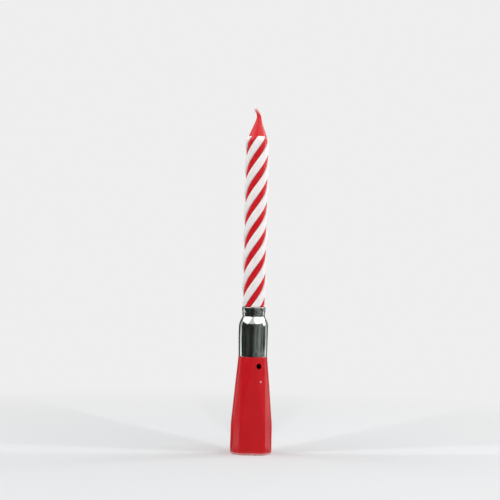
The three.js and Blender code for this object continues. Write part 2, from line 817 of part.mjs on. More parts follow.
// A pan-head screw along Y, with a cross recess, from the board's rear into the crossbar.
function makeBoardScrew() {
  const shankY = boardFrontY - crossbarDepth;
  const headY = boardRearY;
  const topY = headY + screwHeadHeight;
  const profile = [
    [0, shankY],
    [screwRadius * 0.4, shankY],
    [screwRadius, shankY + screwRadius],
    [screwRadius, headY],
    [screwHeadRadius, headY],
    [screwHeadRadius, headY + screwHeadHeight * 0.4],
    [screwHeadRadius * 0.75, topY],
    [0, topY],
  ].map(([r, y]) => new THREE.Vector2(r, y));
  const slotLength = screwHeadRadius * 0.6;
  const slotHalf = screwRecessWidth / 2;
  const cross = solidOf(
    block(-slotLength, topY - screwRecess, -slotHalf, slotLength, topY + 1, slotHalf),
  ).add(solidOf(block(-slotHalf, topY - screwRecess, -slotLength, slotHalf, topY + 1, slotLength)));
  const screw = solidOf(new THREE.LatheGeometry(profile, smallSides)).subtract(cross);
  const mesh = namedMesh("board_screw", geometryOf(screw), steel);
  mesh.position.z = screwZ;
  return mesh;
}

function makePhotodiode() {
  const domeSteps = 6;
  const profile = [
    [0, 0],
    [diodeRadius + diodeRimWidth, 0],
    [diodeRadius + diodeRimWidth, diodeRimHeight],
    [diodeRadius, diodeRimHeight],
  ];
  for (let i = 0; i <= domeSteps; i += 1) {
    const turn = (Math.PI / 2) * (i / domeSteps);
    profile.push([
      i === domeSteps ? 0 : diodeRadius * Math.cos(turn),
      diodeHeight - diodeRadius + diodeRadius * Math.sin(turn),
    ]);
  }
  const mesh = namedMesh("photodiode", turned(profile, 24), clearEpoxy);
  mesh.position.set(0, guideOffset, diodeZ);
  return mesh;
}

// A square lead from the photodiode's underside down the board's rear face.
function makeLead(name, side) {
  const lead = block(
    -leadSide / 2,
    -leadSide / 2,
    boardTopZ - leadOnBoard,
    leadSide / 2,
    leadSide / 2,
    diodeZ,
  );
  const mesh = namedMesh(name, lead, steel);
  mesh.position.set(side * leadSpread, boardRearY + leadSide / 2, 0);
  return mesh;
}

function makeChip() {
  const steps = 6;
  const profile = [new THREE.Vector2(0, 0)];
  for (let i = 0; i <= steps; i += 1) {
    const turn = (Math.PI / 2) * (i / steps);
    const radius = i === steps ? 0 : chipRadius * Math.cos(turn) ** 0.7;
    profile.push(new THREE.Vector2(radius, chipHeight * Math.sin(turn)));
  }
  const mesh = namedMesh("melody_chip", new THREE.LatheGeometry(profile, 28), epoxyBlack);
  mesh.position.set(0, boardRearY, (screwZ + screwHeadRadius + smallPartsZ) / 2);
  return mesh;
}

// A disc across the front of the board, from one depth forward to another.
function frontDisc(name, radius, rearY, frontY, finish, hole = 0) {
  const outline = new THREE.Shape();
  outline.absarc(0, 0, radius, 0, 2 * Math.PI, false);
  if (hole) {
    const inner = new THREE.Path();
    inner.absarc(0, 0, hole, 0, 2 * Math.PI, true);
    outline.holes.push(inner);
  }
  const disc = new THREE.ExtrudeGeometry(outline, {
    depth: rearY - frontY,
    bevelEnabled: false,
    curveSegments: 18,
  });
  const mesh = namedMesh(name, disc.rotateX(Math.PI / 2), finish);
  mesh.position.set(0, rearY, sounderZ);
  return mesh;
}

// A wire from the sounder's face at x and z, out in front of it and up to a pad on the board's front.
function makeWire(name, side, x, faceY, finish) {
  const z = sounderZ + wirePadSpread;
  const startY = faceY - solderGap;
  const padZ = boardTopZ - wirePadDrop;
  const padX = side * wirePadSpread;
  const route = [
    [x, startY, z],
    [x, startY - wireReach / 2, z],
    [(x * 2 + padX) / 3, startY - wireReach, THREE.MathUtils.lerp(z, padZ, 0.35)],
    [padX, startY - wireReach, THREE.MathUtils.lerp(z, padZ, 0.8)],
    [padX, boardFrontY - wireReach / 2, padZ],
    [padX, boardFrontY - solderGap, padZ],
  ];
  const curve = new THREE.CatmullRomCurve3(route.map((point) => new THREE.Vector3(...point)));
  return namedMesh(name, tube(curve, wireRadius, 24, 8), finish);
}

// A small block-shaped component on the board's rear face.
function makeComponent({ name, x, drop, size, finish }) {
  const [width, height, depth] = size;
  const body = block(-width / 2, 0, -height, width / 2, depth, 0);
  const mesh = namedMesh(name, body, finish);
  mesh.position.set(x, boardRearY, smallPartsTopZ - drop);
  return mesh;
}

function makeFootAssembly() {
  const foot = new THREE.Group();
  const ceramicFrontY = sounderFrontY - ceramicThickness;
  foot.add(
    makeFootLid(),
    makeCarrier(),
    makeCell("cell_lower", cellsZ),
    makeCell("cell_upper", cellsZ + cellHeight),
    makeLowerContact(),
    makeUpperContact(),
    makeBoard(),
    makeBoardScrew(),
    makePhotodiode(),
    makeLead("photodiode_lead_left", -1),
    makeLead("photodiode_lead_right", 1),
    makeChip(),
    ...smallParts.map(makeComponent),
    frontDisc("sounder_pad", padRadius, boardFrontY, padFrontY, foamWhite, padRadius - padWall),
    frontDisc("sounder_disc", sounderRadius, padFrontY, sounderFrontY, brass),
    frontDisc("sounder_ceramic", ceramicRadius, sounderFrontY, ceramicFrontY, ceramicGrey),
    makeWire("sounder_wire_red", 1, ceramicRadius / 2, ceramicFrontY, wireRed),
    makeWire("sounder_wire_black", -1, -sounderRadius + ceramicInset / 2, sounderFrontY, wireBlack),
  );
  return foot;
}

function makeHousingAssembly() {
  const housing = new THREE.Group();
  housing.add(makeHousing(), makeFerrule());
  return housing;
}

function makeCandleAssembly() {
  const candle = new THREE.Group();
  candle.add(makeWaxCore(), makeWick(), makeLightGuide());
  for (let number = 0; number < stripeCount; number += 1) candle.add(makeStripe(number));
  return candle;
}

const musicalCandle = new THREE.Group();
musicalCandle.add(makeFootAssembly(), makeHousingAssembly(), makeCandleAssembly());

export default musicalCandle;
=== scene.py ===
"""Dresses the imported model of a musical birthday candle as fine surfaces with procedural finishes.

Each operator makes one piece, or a group of like pieces, from a formula on a numpy grid, and the piece
stands for its node of the frame. Lengths are in metres, +Z is up and the front looks along -Y.
"""

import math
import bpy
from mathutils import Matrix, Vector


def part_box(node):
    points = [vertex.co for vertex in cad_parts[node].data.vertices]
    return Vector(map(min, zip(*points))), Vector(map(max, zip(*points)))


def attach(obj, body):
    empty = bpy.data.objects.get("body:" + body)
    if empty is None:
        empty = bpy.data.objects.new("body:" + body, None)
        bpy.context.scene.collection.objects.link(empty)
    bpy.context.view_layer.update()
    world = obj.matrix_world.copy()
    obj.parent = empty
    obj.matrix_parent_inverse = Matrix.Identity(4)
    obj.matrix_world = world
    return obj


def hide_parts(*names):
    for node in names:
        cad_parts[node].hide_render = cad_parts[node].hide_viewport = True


bl_info = {
    "name": "Musical Birthday Candle",
    "version": (1, 0, 0),
    "blender": (4, 5, 0),
    "location": "3D View > Sidebar > Candle",
    "description": "Twisted wax candle in a metal ferrule, on a base that holds a melody circuit",
    "category": "Add Mesh",
}

import bpy
import numpy as np
from bpy.props import FloatProperty, FloatVectorProperty, IntProperty, PointerProperty
from mathutils import Vector

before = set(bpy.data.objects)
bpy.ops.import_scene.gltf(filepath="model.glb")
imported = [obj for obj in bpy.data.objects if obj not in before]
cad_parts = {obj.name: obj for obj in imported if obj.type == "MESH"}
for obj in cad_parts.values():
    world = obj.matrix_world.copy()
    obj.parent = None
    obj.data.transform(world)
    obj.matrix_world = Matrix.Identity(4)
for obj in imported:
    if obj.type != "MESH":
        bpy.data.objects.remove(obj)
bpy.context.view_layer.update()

MM = 0.001
FULL_TURN = 2 * math.pi
QUARTER_TURN = math.pi / 2
FRAME_PIXELS = 500


# Places that the frame gives


def low(node, axis=2):
    """Where a node of the frame starts along an axis."""
    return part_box(node)[0][axis]


def high(node, axis=2):
    """Where a node of the frame ends along an axis."""
    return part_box(node)[1][axis]


def middle(node, axis=2):
    return (low(node, axis) + high(node, axis)) / 2


FERRULE_FOOT_Z = low("ferrule")
FERRULE_TOP_Z = high("ferrule")
LID_TOP_Z = low("housing")
WAX_FOOT_Z = low("wax_core")
CONE_TOP_Z = high("wax_core")


# Settings


def length(name, description, millimetres):
    return FloatProperty(
        name=name, description=description, default=millimetres * MM, subtype="DISTANCE", unit="LENGTH"
    )


def angle(name, description, degrees):
    return FloatProperty(
        name=name, description=description, default=math.radians(degrees), subtype="ANGLE", unit="ROTATION"
    )


def share(name, description, default):
    return FloatProperty(name=name, description=description, default=default, min=0, max=1, subtype="FACTOR")


def linear(channel):
    """One screen colour channel, from 0 to 255, as the linear value that shaders use."""
    value = channel / 255
    return value / 12.92 if value <= 0.04045 else ((value + 0.055) / 1.055) ** 2.4


def colour(name, description, red, green, blue):
    return FloatVectorProperty(
        name=name,
        description=description,
        default=(linear(red), linear(green), linear(blue), 1),
        size=4,
        min=0,
        max=1,
        subtype="COLOR",
    )


class CandleSettings(bpy.types.PropertyGroup):
    """Sizes and colours of the wax, the wick and the light guide."""

    core_radius: length("Core radius", "Radius of the red wax between the ribs", 4.2)
    spigot_step: length("Spigot step", "How much thinner the wax is inside the ferrule", 0.1)
    band_bulge: length("Band bulge", "How far the middle of a red band stands out", 0.27)
    rib_count: IntProperty(name="Ribs", description="Number of white ribs", default=4, min=1)
    rib_height: length("Rib height", "How far a white rib stands out of the red wax", 0.83)
    rib_share: share("Rib share", "Share of the way round that the white ribs take", 0.57)
    rib_lead: length("Lead", "Rise of a rib in one full turn", 39.4)
    rib_phase: length("Phase", "A height at which a rib passes the front", 119.94)
    shoulder_z: length("Shoulder", "Height at which the wax starts to draw in", 130)
    rib_end: length("Rib end", "How far above the shoulder a rib ends", 2.3)
    tip_radius: length("Tip radius", "Radius of the wax at the top of its cone", 0.88)
    wick_radius: length("Wick radius", "Radius of the dipped wick at its end", 0.62)
    wick_lean: length("Wick lean", "How far right the wick leans at most", 0.42)
    wick_lean_drop: length("Wick lean drop", "How far below the cone's top the wick leans most", 1.3)
    wick_overhang: length("Wick overhang", "How far left of the axis the wick's end is", 1.4)
    guide_radius: length("Light guide radius", "Radius of the clear fibre beside the wick", 0.375)
    guide_bore: length("Light guide bore", "Radius of the wax's bore round the fibre", 0.675)
    red: colour("Red wax", "Colour of the red wax", 216, 20, 30)
    white: colour("White wax", "Colour of the white ribs", 250, 244, 243)
    wick: colour("Wick", "Colour of the waxed wick", 226, 130, 132)


class FerruleSettings(bpy.types.PropertyGroup):
    """Sizes and colour of the metal ferrule."""

    wall: length("Wall", "Thickness of the metal", 0.35)
    collar_height: length("Collar height", "Height of the narrow top", 3.9)
    shoulder_height: length("Shoulder height", "Height of the rounded shoulder", 4.1)
    swell: length("Swell", "How much wider the barrel is at its top", 0.2)
    rim_flare: length("Rim flare", "How far the rolled rim stands out", 0.22)
    dent: length("Dents", "Depth of the uneven places in the drawn metal", 0.032)
    crinkle: length("Crinkle", "Depth of the ripples in the pressed collar", 0.022)
    metal: colour("Metal", "Colour of the bright plating", 206, 209, 204)


class BaseSettings(bpy.types.PropertyGroup):
    """Sizes and colour of the red housing and its foot lid."""

    wall: length("Wall", "Thickness of the housing", 1.1)
    shoulder_radius: length("Shoulder radius", "Radius of the base's round top, under the ferrule", 6.05)
    side_lean: angle("Side lean", "Angle at which each half of a side leans back from the ridge", 36)
    ridge_radius: length("Ridge radius", "Corner radius at the middle of each side", 5.5)
    corner_radius: length("Corner radius", "Corner radius beside the front and back faces", 1.2)
    skirt_top: length("Skirt top", "Height up to which the section stays the same", 12.3)
    skirt_blend: length("Skirt blend", "Half the height over which the flare starts", 2)
    neck_radius: length("Neck radius", "Radius of the neck inside the ferrule", 5.5)
    socket_radius: length("Socket radius", "Radius of the candle's socket in the neck", 4.4)
    socket_floor: length("Socket floor", "Thickness of the socket's floor", 1.2)
    guide_hole: length("Guide hole", "Radius of the hole for the light guide", 0.675)
    sound_hole: length("Sound hole", "Radius of the round sound hole", 1.28)
    sound_hole_x: length("Sound hole side", "How far right of the middle the sound hole is", 2.37)
    sound_hole_drop: length("Sound hole drop", "How far below the ferrule the sound hole is", 3.75)
    gate_mark: length("Gate mark", "Radius of the shallow dish where the moulding was filled", 1.05)
    gate_mark_x: length("Gate mark side", "How far right of the middle the mark is", 3.12)
    gate_mark_drop: length("Gate mark drop", "How far below the ferrule the mark is", 10.1)
    lid_round: length("Lid edge", "Radius of the lid's rounded lower edge", 0.9)
    seam: length("Seam", "Radius of the edges that meet at the lid's seam", 0.12)
    red: colour("Red plastic", "Colour of the housing and the lid", 208, 20, 30)


class WorksSettings(bpy.types.PropertyGroup):
    """Sizes and colours of the parts inside the base."""

    room: length("Room", "Clearance round the cells and the board", 0.3)
    cup_wall: length("Cup wall", "Thickness of the cup that holds the cells", 0.8)
    cup_drop: length("Cup drop", "How far the cup's rim is below the upper cell's top", 0.5)
    post_wall: length("Post wall", "Thickness of the posts beside their slots", 0.5)
    crossbar_height: length("Crossbar height", "Height of the bar that takes the screw", 4)
    crossbar_depth: length("Crossbar depth", "Depth of the bar that takes the screw", 2)
    screw_bore: length("Screw bore", "Radius of the bores that the screw goes through", 0.85)
    screw_radius: length("Screw radius", "Radius of the screw over its thread", 0.55)
    cap_radius: length("Cap radius", "Radius of a cell's smaller, negative side", 3.1)
    cap_height: length("Cap height", "How far the negative side stands out", 0.45)
    seal_width: length("Seal width", "Width of the ring between a cell's cap and can", 0.22)
    contact_sag: length("Contact sag", "How far the upper contact springs down", 0.9)
    board_step: length("Board step", "Height of the board's narrow top", 6.5)
    board_slope: length("Board slope", "Height over which the board narrows", 1.5)
    board_top_half: length("Board top", "Half the width of the board's narrow top", 3.59)
    lens_radius: length("Lens radius", "Radius of the photodiode's lens", 1.5)
    lens_rim: length("Lens rim", "Height of the rim at the photodiode's foot", 0.8)
    pad_wall: length("Foam width", "Width of the foam ring behind the sounder", 1)
    wire_pad_drop: length("Wire pad drop", "How far the wires' pads are below the board's top", 2.6)
    wire_pad_x: length("Wire pad side", "How far the wires' pads are from the middle", 1.9)
    wire_reach: length("Wire reach", "How far the wires stand out in front of the sounder", 1.5)
    metal_sheet: length("Contact thickness", "Thickness of the contacts' sheet metal", 0.3)
    copper: length("Copper", "How far a trace stands out of the board", 0.05)
    trace_width: length("Trace width", "Width of a trace on the board", 0.45)
    wire_radius: length("Wire radius", "Radius of the sounder's wires over their insulation", 0.3)
    carrier: colour("Carrier", "Colour of the carrier", 228, 224, 212)
    steel: colour("Steel", "Colour of the cells, the leads and the screw", 196, 198, 200)
    gasket: colour("Gasket", "Colour of the cells' sealing rings", 214, 208, 190)
    brass: colour("Brass", "Colour of the contacts and the sounder's disc", 204, 166, 82)
    board: colour("Board", "Colour of the circuit board", 34, 96, 52)
    solder: colour("Solder", "Colour of the solder and the component ends", 188, 190, 194)
    epoxy: colour("Black epoxy", "Colour of the chip's drop and the transistor", 20, 20, 22)
    ceramic: colour("Ceramic", "Colour of the sounder's ceramic layer", 216, 210, 196)
    foam: colour("Foam", "Colour of the sounder's foam ring", 233, 231, 222)
    tan: colour("Capacitor", "Colour of the capacitor's body", 199, 180, 140)
    trace: colour("Traces", "Colour of the lacquered traces", 58, 132, 72)
    die: colour("Die", "Colour of the photodiode's die", 60, 52, 70)
    wire_red: colour("Red wire", "Colour of the red wire", 181, 23, 28)
    wire_black: colour("Black wire", "Colour of the black wire", 24, 24, 26)


class StageSettings(bpy.types.PropertyGroup):
    """The camera, the lamps, and how bright the surroundings are."""

    distance: length("Distance", "From the camera to the candle's axis", 650)
    focal_pixels: FloatProperty(name="Focal length", description="In pixels of the frame", default=1557)
    camera_x: length("Camera side", "The camera's place beside the axis", -2.15)
    camera_z: length("Camera height", "The camera's height above the foot", 84.9)
    roll: angle("Roll", "The camera's turn about its line of sight", -1.28)
    turn: angle("Turn", "How far right round the candle the camera stands", -4)
    lamps: FloatProperty(name="Lamps", description="Brightness of the softboxes", default=1.7, min=0)
    world: share("World", "Strength of the even light from all round", 0.64)
    backdrop: share("Backdrop", "Brightness of the backdrop that the camera and mirrors see", 0.86)
    floor: colour("Floor", "Colour of the pale floor", 226, 227, 228)


# Shapes


def smoothed(mesh, crease=35):
    """The mesh, shaded smooth apart from edges sharper than crease degrees."""
    mesh.shade_smooth()
    mesh.set_sharp_from_angle(angle=math.radians(crease))
    return mesh


def linked(name, data):
    """A new object in the scene."""
    made = bpy.data.objects.new(name, data)
    bpy.context.scene.collection.objects.link(made)
    return made


def all_round(sides):
    """Directions in even steps round a full turn."""
    return np.linspace(0, FULL_TURN, sides, endpoint=False)


def quarter(steps):
    """Angles in even steps over a quarter turn, with both ends."""
    return np.linspace(0, QUARTER_TURN, steps)


def polar(radius, direction, z, x=0, y=0):
    """Points at height z, each at its radius and direction from an upright axis at x and y."""
    parts = np.broadcast_arrays(x + radius * np.cos(direction), y + radius * np.sin(direction), z)
    return np.stack(parts, axis=-1)


def grid_quads(rows, columns, hoop=False, loop=True):
    """The quads between a grid's points, as point numbers.

    On a hoop the last row joins the first, and on a loop the last column joins the first.
    """
    row = np.arange(rows if hoop else rows - 1)[:, None]
    column = np.arange(columns if loop else columns - 1)[None, :]
    here, above = row * columns, (row + 1) % rows * columns
    following = (column + 1) % columns
    corners = [here + column, here + following, above + following, above + column]
    return np.stack(corners, axis=-1).reshape(-1, 4)


def soft_rectangle(width, height, edge, steps=3):
    """The two coordinates of a rectangle about the origin, its corners rounded by arcs."""
    turn = np.arange(4)[:, None] * QUARTER_TURN + quarter(steps + 1)
    first = (width / 2 - edge) * np.array([1, -1, -1, 1])[:, None] + edge * np.cos(turn)
    second = (height / 2 - edge) * np.array([1, 1, -1, -1])[:, None] + edge * np.sin(turn)
    return first.ravel(), second.ravel()


def brick(lowest, highest, edge):
    """Rows up a block between two corners, with all its edges rounded by quarter circles."""
    width, depth, _ = np.subtract(highest, lowest)
    middle_x, middle_y, _ = np.add(highest, lowest) / 2
    first_turn, corner_share = 0.15, 0.9
    turn = np.linspace(first_turn, QUARTER_TURN, 4)
    inset = edge * (1 - np.sin(turn))
    rise = edge * (1 - np.cos(turn))
    rows = []
    levels = np.concatenate([lowest[2] + rise, highest[2] - rise[::-1]])
    for step_in, z in zip(np.concatenate([inset, inset[::-1]]), levels):
        x, y = soft_rectangle(width - 2 * step_in, depth - 2 * step_in, edge - corner_share * step_in)
        rows.append(np.stack([middle_x + x, middle_y + y, np.full(x.shape, z)], axis=-1))
    return np.stack(rows)


def carried(line, side, across, outward):
    """Rows of a section carried along a line of points.

    The section's outward direction is square to the line and to the side direction, and its across
    direction is square to both, so a line in one plane keeps its section untwisted.
    """
    line = np.asarray(line, float)
    along = np.gradient(line, axis=0)
    along = along / np.linalg.norm(along, axis=1)[:, None]
    second = np.cross(np.broadcast_to(np.asarray(side, float), line.shape), along)
    second = second / np.linalg.norm(second, axis=1)[:, None]
    first = np.cross(along, second)
    return line[:, None] + across[..., None] * first[:, None] + outward[..., None] * second[:, None]


def bar(line, side, width, thickness, edge):
    """Rows of a flat bar along a line, with rounded long edges and bevelled ends."""
    line = np.asarray(line, float)
    first_way = (line[1] - line[0]) / np.linalg.norm(line[1] - line[0])
    last_way = (line[-1] - line[-2]) / np.linalg.norm(line[-1] - line[-2])
    line = np.concatenate(
        [line[:1], line[:1] + edge * first_way, line[1:-1], line[-1:] - edge * last_way, line[-1:]]
    )
    across, outward = soft_rectangle(width, thickness, edge)
    full = np.ones((len(line), 1))
    narrow = full.copy()
    narrow[[0, -1]] = 1 - 2 * edge / width
    thin = full.copy()
    thin[[0, -1]] = 1 - 2 * edge / thickness
    return carried(line, side, narrow * across, thin * outward)


def tube(line, side, radius, sides=16):
    """Rows of a round tube along a line."""
    around = all_round(sides)
    full = np.ones((len(line), 1))
    return carried(line, side, full * radius * np.cos(around), full * radius * np.sin(around))


def aimed(points, centre, way):
    """Turns a body about +Z to point another way, from a centre."""
    way = np.asarray(way, float) / np.linalg.norm(way)
    side = np.cross([0, 0, 1], way)
    side = np.array([1.0, 0, 0]) if np.linalg.norm(side) < 0.001 else side / np.linalg.norm(side)
    up = np.cross(way, side)
    return np.asarray(centre) + points[..., :1] * side + points[..., 1:2] * up + points[..., 2:] * way


def cut(mesh, *cutters):
    """The mesh with closed bodies taken away from it exactly. A cutter is a grid of rows."""
    body = linked("cut_body", mesh)
    made = [body]
    for number, rows in enumerate(cutters):
        name = f"cutter_{number}"
        tool = linked(name, Skin().add(rows).mesh(name))
        made.append(tool)
        step = body.modifiers.new(tool.name, "BOOLEAN")
        step.operation, step.solver, step.object = "DIFFERENCE", "EXACT", tool
    bpy.context.view_layer.update()
    result = bpy.data.meshes.new_from_object(body.evaluated_get(bpy.context.evaluated_depsgraph_get()))
    for item in made:
        bpy.data.objects.remove(item)
    return result


class Skin:
    """Vertices and faces of closed surfaces, gathered to become one mesh."""

    def __init__(self):
        self.vertices = []
        self.faces = []
        self.values = {}
        self.count = 0

    def add(self, points, ring=False, **values):
        """Adds a closed surface from a grid of rows, each a loop of points.

        Cells become quads. With ring the last row joins the first, as on a hoop; otherwise each end is
        closed with a fan to its middle. The faces are turned over if their enclosed volume is negative.
        """
        rows, columns, _ = points.shape
        vertices = points.reshape(-1, 3)
        quads = grid_quads(rows, columns, hoop=ring)
        fans = np.empty((0, 3), int)
        if not ring:
            ends = np.stack([points[0].mean(0), points[-1].mean(0)])
            vertices = np.concatenate([vertices, ends])
            around = np.arange(columns)
            beside = (around + 1) % columns
            top = (rows - 1) * columns
            bottom_fan = np.stack([beside, around, np.full(columns, rows * columns)], axis=-1)
            top_fan = np.stack(
                [top + around, top + beside, np.full(columns, rows * columns + 1)], axis=-1
            )
            fans = np.concatenate([bottom_fan, top_fan])
        triangles = np.concatenate([quads[:, [0, 1, 2]], quads[:, [0, 2, 3]], fans])
        a, b, c = (vertices[triangles[:, i]] for i in range(3))
        if np.einsum("ij,ij->i", a, np.cross(b, c)).sum() < 0:
            quads = quads[:, ::-1]
            fans = fans[:, ::-1]
        self.vertices.append(vertices)
        self.faces += (quads + self.count).tolist() + (fans + self.count).tolist()
        for name, value in values.items():
            flat = np.broadcast_to(value, (rows, columns)).ravel()
            extra = len(vertices) - len(flat)
            self.values.setdefault(name, []).append(np.concatenate([flat, np.repeat(flat[-1:], extra)]))
        self.count += len(vertices)
        return self

    def mesh(self, name, crease=35):
        """The mesh, smooth apart from edges sharper than crease degrees."""
        made = bpy.data.meshes.new(name)
        made.from_pydata(np.concatenate(self.vertices), [], self.faces)
        for key, parts in self.values.items():
            attribute = made.attributes.new(key, "FLOAT", "POINT")
            attribute.data.foreach_set("value", np.concatenate(parts).astype(np.float32))
        return smoothed(made, crease)


def add_piece(name, shape, material, body, *nodes, slot, crease=35):
    """Links a piece, which rides on a body, stands for its nodes and has a finish.

    Its shape is a mesh, or else a skin or one grid of rows, whose edges are sharp beyond crease degrees.
    """
    if isinstance(shape, np.ndarray):
        shape = Skin().add(shape)
    if isinstance(shape, Skin):
        shape = shape.mesh(name, crease)
    piece = linked(name, shape)
    piece.data.materials.append(material)
    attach(piece, body)
    if nodes:
        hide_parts(*nodes)
    return piece


def lathe(radii, heights, sides, centre=(0, 0)):
    """Rows of points, one for each radius and height, on circles about a vertical axis."""
    around = all_round(sides)
    return polar(np.asarray(radii)[:, None], around, np.asarray(heights)[:, None], *centre)


def rod(radius, foot, top, sides=32, centre=(0, 0)):
    """Rows of a plain upright cylinder."""
    return lathe([radius, radius], [foot, top], sides, centre)


def wobble(across, along, seed, waves=6):
    """An even, repeatable unevenness from about -1 to 1: a sum of sine waves with seeded phases.

    The waves go round a whole number of times, so that it closes on itself round the axis.
    """
    draw = np.random.default_rng(seed)
    total = 0
    for _ in range(waves):
        turns = draw.integers(1, 7)
        pace = draw.uniform(0.5, 2.5) * draw.choice([-1, 1])
        total = total + np.sin(turns * across + pace * along + draw.uniform(0, FULL_TURN))
    return total / math.sqrt(waves)


def rounded(points, radius, steps=6):
    """A polyline whose inner corners become arcs of about the radius, as quadratic curves."""
    points = np.asarray(points, float)
    made = [points[:1]]
    t = np.linspace(0, 1, steps + 1)[:, None]
    for before, corner, after in zip(points, points[1:], points[2:]):
        entry = before - corner
        leave = after - corner
        reach = min(radius, np.linalg.norm(entry) / 2.01, np.linalg.norm(leave) / 2.01)
        start = corner + entry / np.linalg.norm(entry) * reach
        end = corner + leave / np.linalg.norm(leave) * reach
        made.append((1 - t) ** 2 * start + 2 * t * (1 - t) * corner + t**2 * end)
    made.append(points[-1:])
    return np.concatenate(made)


def smooth_step(value):
    """0 up to 0 and 1 from 1, with an even S-shaped rise between."""
    t = np.clip(value, 0, 1)
    return t * t * (3 - 2 * t)


# Finishes


WAX_IOR = 1.44
PLASTIC_IOR = 1.49
# The Mix node's amount and two colours, and the colour that it gives, as numbers of its sockets.
MIX_INPUTS = (0, 6, 7)
MIX_OUTPUT = 2


def add_node(tree, kind, values=None, **properties):
    """Adds a node, sets its properties, and sets or links its inputs by name or number."""
    made = tree.nodes.new(kind)
    for name, value in properties.items():
        setattr(made, name, value)
    for name, value in (values or {}).items():
        if isinstance(value, bpy.types.NodeSocket):
            tree.links.new(value, made.inputs[name])
        else:
            made.inputs[name].default_value = value
    return made


class Finish:
    """A material on one Principled shader. Its patterns read Object coordinates or an attribute."""

    def __init__(self, name, **sockets):
        self.material = bpy.data.materials.new(name)
        self.material.use_nodes = True
        self.tree = self.material.node_tree
        self.shader = self.tree.nodes["Principled BSDF"]
        for socket, value in sockets.items():
            self.shader.inputs[socket.replace("_", " ")].default_value = value
        self.place = self.node("ShaderNodeTexCoord").outputs["Object"]
        self.relief = None

    def node(self, kind, values=None, **properties):
        """Adds a node to this material."""
        return add_node(self.tree, kind, values, **properties)

    def noise(self, per_mm, detail=2, stretch=(1, 1, 1), distortion=0):
        """Smooth noise with about so many grains in a millimetre, drawn out along the stretch."""
        place = self.place
        if stretch != (1, 1, 1):
            scale = tuple(1 / factor for factor in stretch)
            place = self.node("ShaderNodeMapping", {"Vector": place, "Scale": scale}).outputs["Vector"]
        values = {"Vector": place, "Scale": per_mm / MM, "Detail": detail, "Distortion": distortion}
        return self.node("ShaderNodeTexNoise", values).outputs["Fac"]

    def attribute(self, name):
        """What the mesh holds at each point under a name."""
        return self.node("ShaderNodeAttribute", attribute_name=name).outputs["Fac"]

    def spread(self, value, start, end, low_value=0, high_value=1):
        """The value from start to end as low_value to high_value, held there beyond."""
        values = {
            "Value": value,
            "From Min": start,
            "From Max": end,
            "To Min": low_value,
            "To Max": high_value,
        }
        return self.node("ShaderNodeMapRange", values).outputs["Result"]

    def calculate(self, operation, first, second=0.0):
        """One step of arithmetic on two values."""
        return self.node("ShaderNodeMath", {0: first, 1: second}, operation=operation).outputs[0]

    def mix(self, amount, first, second):
        """The first colour at an amount of 0, and the second at 1."""
        values = dict(zip(MIX_INPUTS, (amount, first, second)))
        return self.node("ShaderNodeMix", values, data_type="RGBA").outputs[MIX_OUTPUT]

    def glow(self, tint, strength):
        """A shader that gives off light of its own."""
        return self.node("ShaderNodeEmission", {"Color": tint, "Strength": strength}).outputs[0]

    def colour(self, source):
        self.tree.links.new(source, self.shader.inputs["Base Color"])

    def roughness(self, source):
        self.tree.links.new(source, self.shader.inputs["Roughness"])

    def surface(self, source):
        """Shows another shader in place of the Principled one."""
        self.tree.links.new(source, self.tree.nodes["Material Output"].inputs["Surface"])

    def bump(self, height, depth_mm):
        """Adds fine relief to what is there already. A height of 1 stands depth_mm out."""
        made = self.node("ShaderNodeBump", {"Height": height, "Distance": depth_mm * MM, "Strength": 1})
        if self.relief:
            self.tree.links.new(self.relief, made.inputs["Normal"])
        self.relief = made.outputs["Normal"]
        self.tree.links.new(self.relief, self.shader.inputs["Normal"])
        return self


def tinted(base, factor, toward=(0, 0, 0)):
    """A colour scaled by the factor, with the rest made up from another."""
    mixed = [base[i] * factor + toward[i] * (1 - factor) for i in range(3)]
    return (*np.clip(mixed, 0, 1).tolist(), 1)


def red_plastic(base, mark):
    """Glossy moulded plastic: slight clouding, fine swirls in the polish and a few rubbed places.

    The edge that it stands on is painted pale as a highlight, broken up by noise, and the stub at the moulding
    mark is painted white as a highlight.
    """
    made = Finish("red_plastic_finish", IOR=PLASTIC_IOR, Subsurface_Weight=0.3, Subsurface_Scale=0.0015)
    made.shader.inputs["Subsurface Radius"].default_value = (1.0, 0.06, 0.06)
    cloud = made.spread(made.noise(0.12, detail=3), 0.35, 0.65)
    body = made.mix(cloud, tinted(base, 0.93), tinted(base, 0.99, (1, 0.2, 0.2)))
    height = made.node("ShaderNodeSeparateXYZ", {"Vector": made.place}).outputs["Z"]
    # Painted highlight: the lower edge turns pale pink below about a millimetre of height, patchy with noise.
    painted_edge_highlight = made.spread(height, 0.35 * MM, 1 * MM, 0.95, 0)
    painted_edge_highlight = made.calculate("MULTIPLY", painted_edge_highlight, made.spread(made.noise(0.5, detail=4), 0.35, 0.6, 0.5, 1))
    # Painted highlight: the plastic within about half a millimetre of the moulding mark turns pale.
    away = made.node("ShaderNodeVectorMath", {0: made.place, 1: mark}, operation="DISTANCE").outputs["Value"]
    pale = made.calculate("MAXIMUM", painted_edge_highlight, made.spread(away, 0.3 * MM, 0.55 * MM, 0.85, 0))
    # Both painted highlights mix the red toward a pale pink.
    made.colour(made.mix(pale, body, tinted(base, 0.25, (1, 0.74, 0.7))))
    rubbed = made.noise(2.2, detail=4, stretch=(1, 1, 6))
    made.roughness(made.spread(rubbed, 0.3, 0.75, 0.14, 0.25))
    made.bump(made.noise(0.35, detail=1), 0.012)
    return made.bump(made.noise(5, detail=3), 0.0012).material


